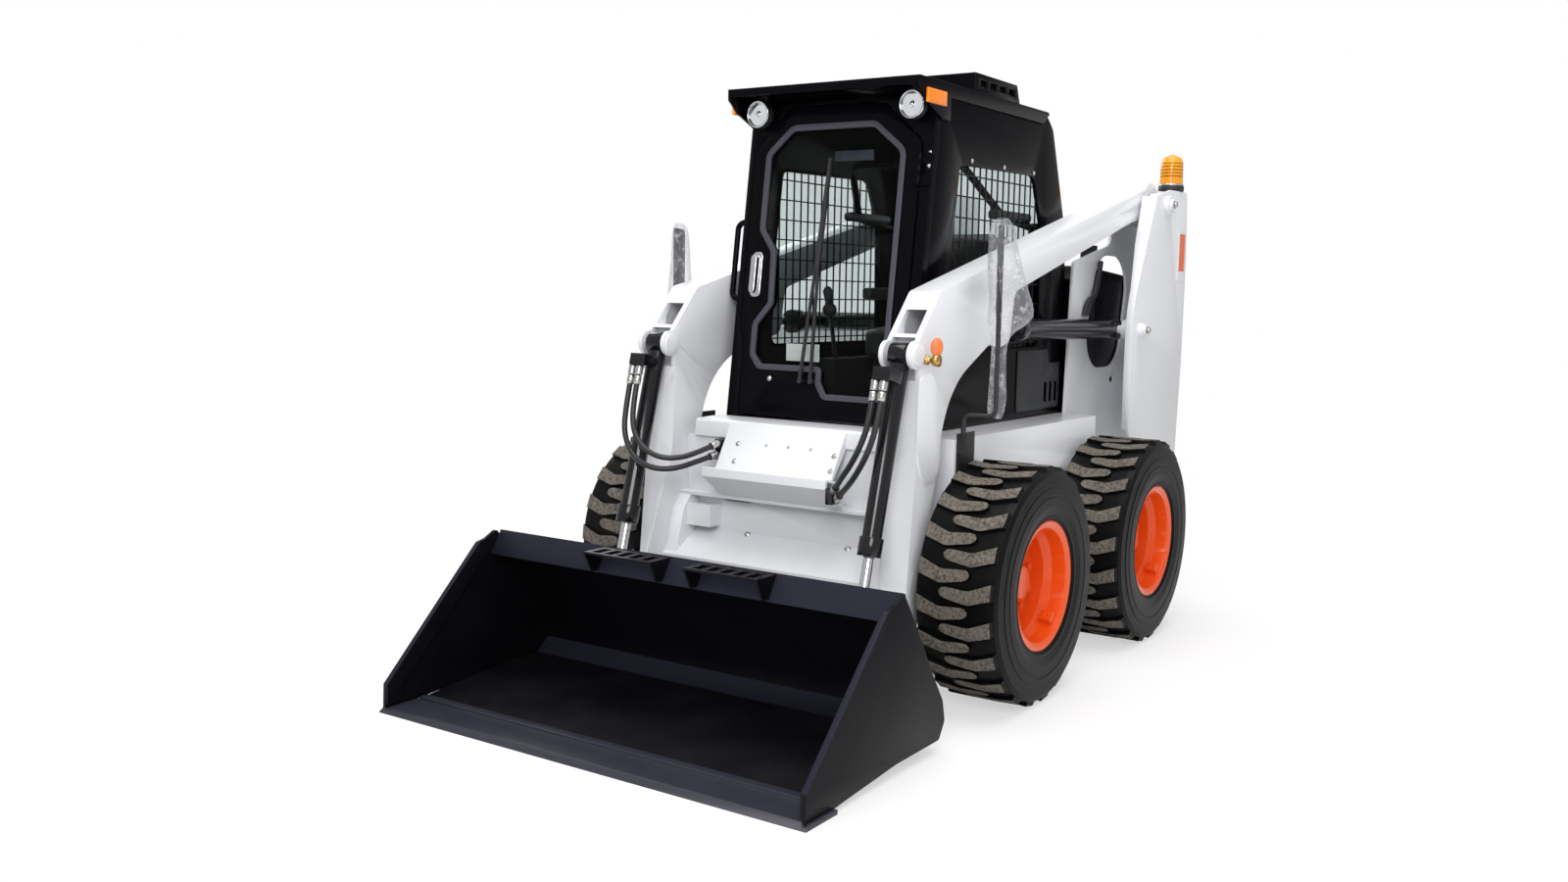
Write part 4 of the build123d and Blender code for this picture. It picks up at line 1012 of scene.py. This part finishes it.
def add_box(bm, low, high, bevel, matrix=Matrix()):
    """A box with rounded edges between two corners."""
    part = bmesh.new()
    size = Vector(high) - Vector(low)
    middle = (Vector(high) + Vector(low)) / 2
    bmesh.ops.create_cube(part, size=1.0, matrix=Matrix.Translation(middle) @ Matrix.Diagonal(size).to_4x4())
    round_off(part, part.edges[:], bevel, 3)
    add_mesh(bm, mesh_from(part, "box"), matrix)


def add_tube(bm, points, radius):
    """A tube along a smooth curve through a route's points, in the row frame."""
    curve = hose_curve("tube", [(x, y - front_axle_y, z) for x, y, z in points], radius)
    probe = bpy.data.objects.new("tube", curve)
    mesh = bpy.data.meshes.new_from_object(probe)
    bpy.data.objects.remove(probe)
    bpy.data.curves.remove(curve)
    add_mesh(bm, mesh, Matrix())


# %% [markdown]
# ## Fastening a part to its body
# A finished part must move with the body that carries it, and its surface must say what it is made of. One
# helper makes the object and does both, so that no part is left behind when the arms rise.

# %% Placing a part


def place_part(bm, name, material, body, smooth=True):
    """Makes the object, gives it its finish and fastens it to a body."""
    piece = object_from(bm, name, material, smooth)
    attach(piece, body)
    return piece


# %% Bolts
dome_bolt = [(0.0, 0.0), (0.0, 0.010), (0.0012, 0.010), (0.0012, 0.0065)]
dome_bolt += [(0.004, 0.0060), (0.006, 0.0035), (0.0065, 0.0)]


def add_bolts(bm, places, axis, size=1.0):
    """A domed bolt head with its washer at each place."""
    for place in places:
        add_turned(bm, [(a * size, r * size) for a, r in dome_bolt], place, axis, 16)


def add_hex(bm, place, axis, across, height):
    """A hexagon head on a washer."""
    add_turned(bm, [(0, 0), (0, across * 0.72), (0.002, across * 0.72), (0.002, 0)], place, axis, 20)
    add_turned(bm, [(0.002, 0), (0.002, across * 0.56), (height, across * 0.54), (height, 0)], place, axis, 6)


# %% [markdown]
# ## Work lamps
# A work lamp is a chrome ring, a rippled chrome dish and a clear domed lens over it. A flat disc in three
# colours would do from straight ahead, but not from the side. All three parts are round, so all three are
# turned, and the light plays on the ripples by itself.

# %% Work lamps
lamp_face_y = -0.344
lamp_x = 0.331
lamp_z = 2.061
towards_front = (0, -1, 0)
ring_profile = [(0.0, 0.050), (0.009, 0.050), (0.011, 0.047), (0.009, 0.044), (0.0005, 0.043), (0.0, 0.050)]
dish_profile = [(0.0006, 0.0438), (0.0030, 0.036), (0.0012, 0.029), (0.0026, 0.022), (0.0010, 0.014)]
dish_profile += [(0.0010, 0.009), (0.007, 0.008), (0.009, 0.0)]
lens_profile = [(0.0045, 0.0435), (0.0075, 0.036), (0.0105, 0.022), (0.0115, 0.0), (0.0100, 0.0)]
lens_profile += [(0.0090, 0.022), (0.0060, 0.036), (0.0038, 0.0435), (0.0045, 0.0435)]
rings = bmesh.new()
dishes = bmesh.new()
lenses = bmesh.new()
for x in (-lamp_x, lamp_x):
    place = (x, lamp_face_y, lamp_z)
    add_turned(rings, ring_profile, place, towards_front, 40)
    add_turned(dishes, dish_profile, place, towards_front, 40)
    add_turned(lenses, lens_profile, place, towards_front, 40)
place_part(rings, "lamp_rings", rod_chrome, "frame")
place_part(dishes, "lamp_dishes", rod_chrome, "frame")
place_part(lenses, "lamp_lenses", lamp_glass, "frame")
print("lamps at", lamp_x, lamp_face_y, lamp_z)

# %% [markdown]
# ## Beacon
# The beacon's amber lens is ribbed and sits on a collar. Ribs cut into the CAD lens would change it, so
# they are thin rings turned round it, which taper upwards as the lens does.

# %% Beacon
rib_count = 7
first_rib = 0.08
rib_pitch = 0.10
low_rib_radius = 0.0525
rib_narrowing = 0.0028
groove_depth = 0.002
beacon_low, beacon_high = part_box("beacon_lens")
beacon_centre = (beacon_low + beacon_high) / 2
beacon_height = beacon_high.z - beacon_low.z
ribs = bmesh.new()
for i in range(rib_count):
    up = beacon_low.z + beacon_height * (first_rib + rib_pitch * i)
    rib_radius = low_rib_radius - rib_narrowing * i / (rib_count - 1)
    groove = rib_radius - groove_depth
    rib = [(-0.0015, groove), (-0.0012, rib_radius), (0.0012, rib_radius), (0.0015, groove)]
    add_turned(ribs, rib, (beacon_centre.x, beacon_centre.y, up), (0, 0, 1), 40)
place_part(ribs, "beacon_ribs", beacon_amber, "frame")
collar = bmesh.new()
collar_profile = [(0.0, 0.0520), (0.0, 0.0560), (0.006, 0.0560), (0.008, 0.0535), (0.008, 0.0520)]
add_turned(collar, collar_profile, (beacon_centre.x, beacon_centre.y, beacon_low.z), (0, 0, 1), 40)
place_part(collar, "beacon_collar", fitting_zinc, "frame")
print("beacon ribs", rib_count)

# %% [markdown]
# ## Bolts on the plates
# Bolts sit where plates are joined. Each could be placed by eye, but a bolt on a sloped plate must sit on
# the slope. So its place is worked out from the plate's own face, and its list gives only where along the
# plate it is.

# %% Bolt heads
panel_lean = Vector((0, -0.87, 0.49)).normalized()
panel_y = -0.641
panel_top = 0.858


def on_panel(x, z):
    """The point of the sloped step panel at a height."""
    return (x, panel_y - (panel_top - z) * panel_lean.z / -panel_lean.y, z)


bolts = bmesh.new()
corners = [(-0.185, 0.852), (-0.176, 0.792), (0.232, 0.841), (0.236, 0.792)]
add_bolts(bolts, [on_panel(x, z) for x, z in corners], panel_lean)
add_bolts(bolts, [on_panel(x, 0.856) for x in (-0.060, 0.035, 0.130)], panel_lean, 0.6)
place_part(bolts, "panel_bolts", fitting_zinc, "arms")
beam_bolts = bmesh.new()
add_bolts(beam_bolts, [(-0.168, -0.603, 0.517), (0.267, -0.605, 0.516)], Vector((0, -0.52, 0.86)), 1.3)
place_part(beam_bolts, "beam_bolts", fitting_zinc, "arms")
print("bolts on the panel and the beam")

# %% Cab and door bolts
cab_face_y = -0.307
cab_face_slope = 0.131
cab_face_top = 1.901


def on_cab_face(x, z):
    """The point of the cab's leaning front at a height."""
    return (x, cab_face_y - cab_face_slope * (cab_face_top - z), z)


cab_bolts = bmesh.new()
for side in (-1, 1):
    places = [(side * 0.398, y, 1.894) for y in (-0.008, 0.264, 0.536)]
    add_bolts(cab_bolts, places, (side, 0, 0), 0.9)
lean = Vector((0, -0.99, 0.13))
add_bolts(cab_bolts, [on_cab_face(0.384, z) for z in (1.896, 1.851, 1.806)], lean, 0.9)
place_part(cab_bolts, "cab_bolts", fitting_zinc, "frame")
door_bolt = bmesh.new()
add_bolts(door_bolt, [(-0.211, -0.422, 1.078)], lean)
place_part(door_bolt, "door_bolt", fitting_zinc, "door")
print("bolts on the cab and the door")

# %% Pin heads on the towers
pin_heads = bmesh.new()
for side, tower in ((-1, "tower_right"), (1, "tower_left")):
    low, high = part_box(tower)
    far_x = max(abs(low.x), abs(high.x))
    for y, z in ((1.411, 1.820), (1.137, 1.265)):
        add_hex(pin_heads, (side * far_x, y, z), (side, 0, 0), 0.024, 0.014)
place_part(pin_heads, "tower_pin_heads", fitting_zinc, "frame")
print("pin heads at", round(far_x, 3), "m from the middle")

# %% [markdown]
# ## Plug, tag and drain holes
# A brass plug closes the grease port on the left arm's pin, with an orange tag above it, and each tower has
# a drain hole low down. A hole could be cut, but the CAD plate stays whole, so a thin black disc stands
# for it: its black is the painted shade inside the hole.

# %% Brass plug, its tag and the towers' drain holes
plug = bmesh.new()
plug_profile = [(0, 0), (0, 0.015), (0.010, 0.015), (0.012, 0.010), (0.030, 0.010)]
plug_profile += [(0.032, 0.020), (0.050, 0.020), (0.053, 0.0)]
add_turned(plug, plug_profile, (0.575, -0.640, 1.188), (1, 0, 0))
place_part(plug, "grease_plug", brass, "arms")
tag = bmesh.new()
tag_profile = [(0, 0), (0, 0.019), (0.002, 0.021), (0.005, 0.019), (0.005, 0)]
tag_centre = Vector((0.616, -0.642, 1.232))
add_turned(tag, tag_profile, tag_centre, (0.6, -0.8, 0))
bmesh.ops.scale(tag, vec=(1, 1, 1.5), space=Matrix.Translation(-tag_centre), verts=tag.verts[:])
place_part(tag, "plug_tag", tag_orange, "arms")
# Black discs paint the shade inside the towers' drain holes.
drain = bmesh.new()
disc_profile = [(0, 0), (0, 0.013), (0.0008, 0.013), (0.0008, 0)]
for side in (-1, 1):
    add_turned(drain, disc_profile, (side * 0.4422, 1.356, 1.031), (side, 0, 0))
place_part(drain, "tower_hole_shades", hole_shade_black, "frame")
print("plug, tag and drain holes placed")

# %% [markdown]
# ## Hose ferrules
# A hose ends in a steel sleeve that is crimped on in rings. The ring marks could be a bump, but a sleeve is
# seen against the light, so they are turned. The sleeves at the port move with the cylinder's barrel, and
# the collars after them move with the hoses.

# %% Hose ferrules
crimp = [(0.0, 0.0125), (0.001, 0.0145), (0.008, 0.0145), (0.010, 0.0137), (0.012, 0.0145), (0.020, 0.0145)]
crimp += [(0.022, 0.0137), (0.024, 0.0145), (0.033, 0.0142), (0.035, 0.0125)]
hose_collar = [(0.038, 0.0105), (0.040, 0.0135), (0.068, 0.0135), (0.070, 0.0105)]
sleeve_above = 0.0362
sleeve_past_end = 0.002
sleeves = {"left": bmesh.new(), "right": bmesh.new()}
end_sleeves = bmesh.new()
for name, points in hose_routes.items():
    port = in_row_frame(points[0]) - down * sleeve_above
    side = "right" if "right" in name else "left"
    add_turned(sleeves[side], crimp, port, down)
    add_turned(end_sleeves, hose_collar, port, down)
    end = in_row_frame(points[-1])
    last_run = end - in_row_frame(points[-2])
    add_turned(end_sleeves, crimp, end + last_run.normalized() * sleeve_past_end, last_run)
for side, bm in sleeves.items():
    place_part(bm, f"port_sleeves_{side}", fitting_zinc, f"tilt_barrel_{side}")
place_part(end_sleeves, "end_sleeves", fitting_zinc, "arms")
print("sleeves on", len(hose_routes), "hoses")

# %% [markdown]
# ## Valve guards
# Each rim has a small guard for its tyre's valve, welded low inside the dish. It could be an object for
# each wheel, turned into place, but a finished piece keeps its place in its mesh. So the guard is built
# with a matrix that turns it about the axle.

# %% Valve guards
guard_turn = Matrix.Rotation(math.radians(-139), 4, "X")
for wheel in wheel_names:
    low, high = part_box(f"rim_{wheel}")
    centre = (low + high) / 2
    side = 1 if "left" in wheel else -1
    guard = bmesh.new()
    place = Matrix.Translation(centre) @ guard_turn
    near, far = sorted((side * 0.078, side * 0.122))
    add_box(guard, (near, -0.020, 0.168), (far, 0.020, 0.197), 0.003, place)
    bolt_places = [place @ Vector((side * x, 0, 0.168)) for x in (0.092, 0.109)]
    add_bolts(guard, bolt_places, place.to_3x3() @ Vector((0, 0, -1)), 0.7)
    place_part(guard, f"valve_guard_{wheel}", wheel_orange, f"wheel_{wheel}", False)
print("valve guards", len(wheel_names))

# %% [markdown]
# ## Upholstery
# The seat's cushions are foam under vinyl: blocks whose faces swell outwards and whose corners are round.
# Cloth could be simulated over a block, but vinyl this tight hardly folds. So a cube is cut into small
# squares, and each vertex is moved by how near it is to the cube's edges and corners.

# %% Cushion
corner_power = 8
corner_exponent = 1 / corner_power
bulge_share = 0.10


def cushion(name, size, place, swell):
    """A swollen cushion with round corners."""
    bm = bmesh.new()
    bmesh.ops.create_cube(bm, size=2.0)
    bmesh.ops.subdivide_edges(bm, edges=bm.edges[:], cuts=15, use_grid_fill=True)
    half = Vector(size) / 2
    for v in bm.verts:
        x, y, z = v.co
        rounding = sum(abs(c) ** corner_power for c in (x, y, z)) ** corner_exponent
        bulge = 1 + swell * ((1 - x * x) * (1 - y * y) if abs(z) > 0.999 else 0)
        thickness = half.z * (1 - bulge_share + bulge_share * bulge)
        v.co = Vector((x * half.x, y * half.y, z * thickness)) / rounding
    bmesh.ops.transform(bm, matrix=place, verts=bm.verts)
    piece = place_part(bm, name, seat_vinyl, "frame")
    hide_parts("seat")


# %% Seat
cushion_place = Matrix.Translation((0, 0.466, 1.205)) @ Matrix.Rotation(math.radians(4), 4, "X")
cushion("seat_cushion", (0.46, 0.44, 0.13), cushion_place, 0.8)
back_place = Matrix.Translation((0, 0.755, 1.445)) @ Matrix.Rotation(math.radians(23), 4, "X")
cushion("seat_back", (0.44, 0.12, 0.44), back_place, 0.0)
for x in (-0.262, 0.262):
    cushion("arm_pad", (0.045, 0.32, 0.05), Matrix.Translation((x, 0.50, 1.40)), 0.3)
pedestal = bmesh.new()
add_box(pedestal, (-0.20, 0.30, 0.925), (0.20, 0.66, 1.135), 0.012)
base_piece = place_part(pedestal, "seat_base", black_plastic, "frame")
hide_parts("seat")
print("seat: a base, a cushion, a back and two arm pads")

# %% [markdown]
# ## Behind the towers
# Two hoses loop up to each lift cylinder in the dark space inside its tower, and a near-black sheet behind
# them is painted shade that closes the view past them. They could be hung like the tilt hoses, but both
# their ends are hidden in the tower. So each is a plain bent tube.

# %% Tower hoses
tower_hoses = bmesh.new()
tower_hose_x = 0.4545
tower_hose_radius = 0.011
for x in (-tower_hose_x, tower_hose_x):
    for shift in (0.0, 0.035):
        route = [
            (x, 0.985 + shift, 1.325),
            (x, 0.995 + shift, 1.360),
            (x, 1.040 + shift, 1.395),
            (x, 1.100, 1.410 + shift),
            (x, 1.125, 1.460 + shift),
            (x, 1.150, 1.560),
        ]
        add_tube(tower_hoses, route, tower_hose_radius)
place_part(tower_hoses, "tower_hoses", hose_rubber, "frame")
print("tower hoses at", tower_hose_x, "m from the middle")

# %% Painted shade behind the tower openings
# A near-black sheet in each tower paints the shade inside it.
shade_sheets = bmesh.new()
for side in (-1, 1):
    inner, outer = sorted((side * 0.4267, side * 0.4293))
    add_box(shade_sheets, (inner, 0.980, 1.050), (outer, 1.165, 1.630), 0.0008)
place_part(shade_sheets, "tower_shade_sheets", grille_black, "frame", False)
print("liners placed")

# %% [markdown]
# ## Inside the cab and on the door
# A blank card leans inside the door's glass, a reflecting strip sits under the roof, and the levers have
# grips and a folded rubber boot. The boot could be bent rings on a tube, but its folds are round, so its
# zigzag profile is turned like the grips.

# %% Card and strip
card = bmesh.new()
add_box(card, (-0.160, -0.3855, 1.146), (-0.012, -0.3840, 1.210), 0.0005)
place_part(card, "paper_card", card_white, "door", False)
strip = bmesh.new()
add_box(strip, (-0.270, 0.094, 1.925), (-0.090, 0.100, 1.965), 0.002)
place_part(strip, "roof_strip", strip_silver, "frame", False)
print("card and strip placed")

# %% Grips, boot and pads
grips = bmesh.new()
grip = [(0.0, 0.013), (0.02, 0.018), (0.07, 0.016), (0.11, 0.021), (0.125, 0.012), (0.13, 0.0)]
for side in (-1, 1):
    add_turned(grips, grip, (side * 0.300, 0.128, 1.300), (0, -0.20, 0.98))
place_part(grips, "lever_grips", black_plastic, "frame")
boot = bmesh.new()
boot_profile = [(0.0, 0.0), (0.0, 0.036)]
fold_pitch = 0.016
for fold in range(6):
    start = 0.008 + fold * fold_pitch
    boot_profile += [(start, 0.035), (start + fold_pitch / 2, 0.027)]
boot_profile += [(0.104, 0.024), (0.120, 0.020), (0.124, 0.0)]
add_turned(boot, boot_profile, (0.392, -0.285, 1.110), (-1, 0, 0))
place_part(boot, "lever_boot", boot_grey, "frame")
pads = bmesh.new()
for side in (-1, 1):
    add_box(pads, (side * 0.334 - 0.024, 0.30, 1.700), (side * 0.334 + 0.024, 0.62, 1.738), 0.014)
place_part(pads, "bar_pads", seat_vinyl, "frame")
print("grips, boot and pads placed")

# %% [markdown]
# ## Clear film
# New mirrors come wrapped in thin clear film. Glass that bends light would be far too heavy for it, so the
# film is a see-through white: its alpha is low, higher in a crease, and highest where a fold turns
# edge-on. The whiter creases are painted highlights, and the white at edge-on folds is a painted sheen.

# %% Film material
film_clear, tree, shader, coordinate = new_material("film_clear")
folds = noise_node(tree, coordinate, 38.0, 5.0, 0.65)
thin_cover = 0.10
crease_highlight_cover = 0.30
edge_sheen_cover = 0.35
edge_on = tree.nodes.new("ShaderNodeLayerWeight")
edge_on.inputs["Blend"].default_value = 0.35
# Creases get whiter and less clear: painted highlights.
crease_highlight = ramp_node(tree, folds, 0.50, 0.68)
# Where a fold turns edge-on it gets whiter too: a painted sheen.
cover = plus(tree, times(tree, edge_on.outputs["Facing"], edge_sheen_cover), thin_cover)
cover = plus(tree, cover, times(tree, crease_highlight, crease_highlight_cover), clamp=True)
wire(tree, cover, shader.inputs["Alpha"])
highlit_white = mix_colour(tree, crease_highlight, (0.60, 0.61, 0.66, 1), (0.95, 0.95, 0.97, 1))
wire(tree, highlit_white, shader.inputs["Base Color"])
wire(tree, bump(tree, folds, 0.9, 0.006), shader.inputs["Normal"])
shader.inputs["Roughness"].default_value = 0.12
print(film_clear.name, len(tree.nodes), "nodes")

# %% [markdown]
# ## Bags round the mirrors
# Each bag is one skin round a mirror's head, and the left one covers the post as well. Both are open at
# their ends. A simulated cloth would take many tries to wrinkle well round a mirror. So rings of points
# follow the post, each ring has its own width, noise crumples them, and a level of subdivision softens
# the creases.

# %% Film bag
post_x = 0.705
post_y = -0.372
behind = Vector((-0.47, 0.88, 0.0))
across_head = Vector((0.88, 0.47, 0.0))
around = 28
crumple_depth = 0.22
bag_shift = 0.75
folds_round = 2.2
folds_up = 22


def film_bag(name, side, rows, cut):
    """A crumpled bag round one mirror, from rows of height, offset, half width and half depth."""
    bm = bmesh.new()
    rings = []
    for z, offset, width, depth in rows:
        centre = Vector((side * post_x, post_y, z)) + behind * depth * bag_shift + across_head * offset
        ring = []
        for i in range(around):
            angle = math.tau * i / around
            out = across_head * math.cos(angle) * width + behind * math.sin(angle) * depth
            spot = Vector((math.cos(angle) * folds_round, math.sin(angle) * folds_round, z * folds_up))
            fold = noise.noise(spot)
            ring.append(bm.verts.new(centre + out * (1 + crumple_depth * fold)))
        rings.append(ring)
    for low_ring, high_ring in zip(rings, rings[1:]):
        pairs = [p for r in (low_ring, high_ring) for p in zip(r, r[1:] + r[:1])]
        bmesh.ops.bridge_loops(bm, edges=[bm.edges.get(p) or bm.edges.new(p) for p in pairs])
    bmesh.ops.recalc_face_normals(bm, faces=bm.faces)
    piece = object_from(bm, name, film_clear)
    smooth = piece.modifiers.new("soft", "SUBSURF")
    smooth.levels = 1
    smooth.render_levels = 1
    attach(piece, "frame")
    print(name, "cut from", cut)


# %% The two bags
left_rows = [
    (0.985, 0.000, 0.020, 0.020),
    (1.005, 0.002, 0.030, 0.026),
    (1.060, 0.004, 0.032, 0.028),
    (1.130, 0.004, 0.028, 0.024),
    (1.200, 0.003, 0.025, 0.022),
    (1.270, 0.006, 0.027, 0.024),
    (1.300, 0.030, 0.062, 0.050),
    (1.330, 0.045, 0.082, 0.085),
    (1.380, 0.040, 0.078, 0.095),
    (1.440, 0.028, 0.066, 0.095),
    (1.520, 0.014, 0.055, 0.095),
    (1.600, 0.006, 0.048, 0.095),
    (1.645, 0.004, 0.040, 0.090),
    (1.662, 0.002, 0.018, 0.050),
]
film_bag("film_left", 1, left_rows, (0.18, 0.68))
head_bottom = 1.29
narrower = 0.62
right_rows = [(z, 0.004, width * narrower, depth) for z, _, width, depth in left_rows if z > head_bottom]
film_bag("film_right", -1, right_rows, (0.43, 0.36))

# %% [markdown]
# ## Floor
# The machine stands on a plain pale sheet. Brighter lamps would make it white but would also wash out the
# white paint. So a Light Path node adds white for the camera alone, the sheet keeps the machine's shadow,
# and well away from the shadow it fades into the white room.

# %% Floor
floor_material, tree, shader, coordinate = new_material("floor")
bm = bmesh.new()
bmesh.ops.create_grid(bm, x_segments=1, y_segments=1, size=40)
floor = object_from(bm, "floor", floor_material, False)
shader.inputs["Base Color"].default_value = (0.90, 0.90, 0.90, 1)
shader.inputs["Roughness"].default_value = 0.9
shader.inputs["Specular IOR Level"].default_value = 0.0
glow = tree.nodes.new("ShaderNodeEmission")
glow.inputs["Color"].default_value = (1, 1, 1, 1)
near_white = 0.55
shadow_reach = 1.8
room_reach = 3.2
blend = tree.nodes.new("ShaderNodeMixShader")
rays = tree.nodes.new("ShaderNodeLightPath")
away = tree.nodes.new("ShaderNodeVectorMath")
away.operation = "LENGTH"
wire(tree, coordinate, away.inputs[0])
fade = ramp_node(tree, away.outputs["Value"], shadow_reach, room_reach)
share = plus(tree, times(tree, fade, 1 - near_white), near_white)
wire(tree, times(tree, rays.outputs["Is Camera Ray"], share), blend.inputs[0])
wire(tree, shader.outputs[0], blend.inputs[1])
wire(tree, glow.outputs[0], blend.inputs[2])
wire(tree, blend.outputs[0], tree.nodes["Material Output"].inputs["Surface"])
print("floor laid")

# %% [markdown]
# ## World and lamps
# The world is a soft white room at a plain level, and three large square lamps give the machine its shape.
# Small lamps would put hard spots on the black paint. The camera and the light that comes through glass
# see the room as white, and everything else sees it at the plain level.

# %% World
room_level = 0.55
world = bpy.data.worlds.new("room")
scene.world = world
world.use_nodes = True
tree = world.node_tree
background = tree.nodes["Background"]
rays = tree.nodes.new("ShaderNodeLightPath")
seen = math_node(tree, "MAXIMUM", rays.outputs["Is Camera Ray"], rays.outputs["Is Transmission Ray"])
strength = plus(tree, times(tree, seen, 1 - room_level), room_level)
wire(tree, strength, background.inputs["Strength"])
background.inputs["Color"].default_value = (1, 1, 1, 1)
print("room level", room_level)

# %% Lamps


def area_light(name, place, aim, size, power):
    """A square soft lamp that faces a point."""
    data = bpy.data.lights.new(name, "AREA")
    data.shape = "SQUARE"
    data.size = size
    data.energy = power
    lamp = bpy.data.objects.new(name, data)
    scene.collection.objects.link(lamp)
    lamp.location = place
    lamp.rotation_euler = (Vector(aim) - Vector(place)).to_track_quat("-Z", "Y").to_euler()


area_light("overhead", (0.5, -0.5, 6.0), (0, 0, 0.8), 5.0, 260)
area_light("key", (3.5, -6.5, 4.5), (0, -0.5, 0.8), 3.0, 260)
area_light("rim", (-5.0, 3.0, 4.0), (0, 0, 1.0), 3.0, 120)
print("lamps", len(bpy.data.lights))
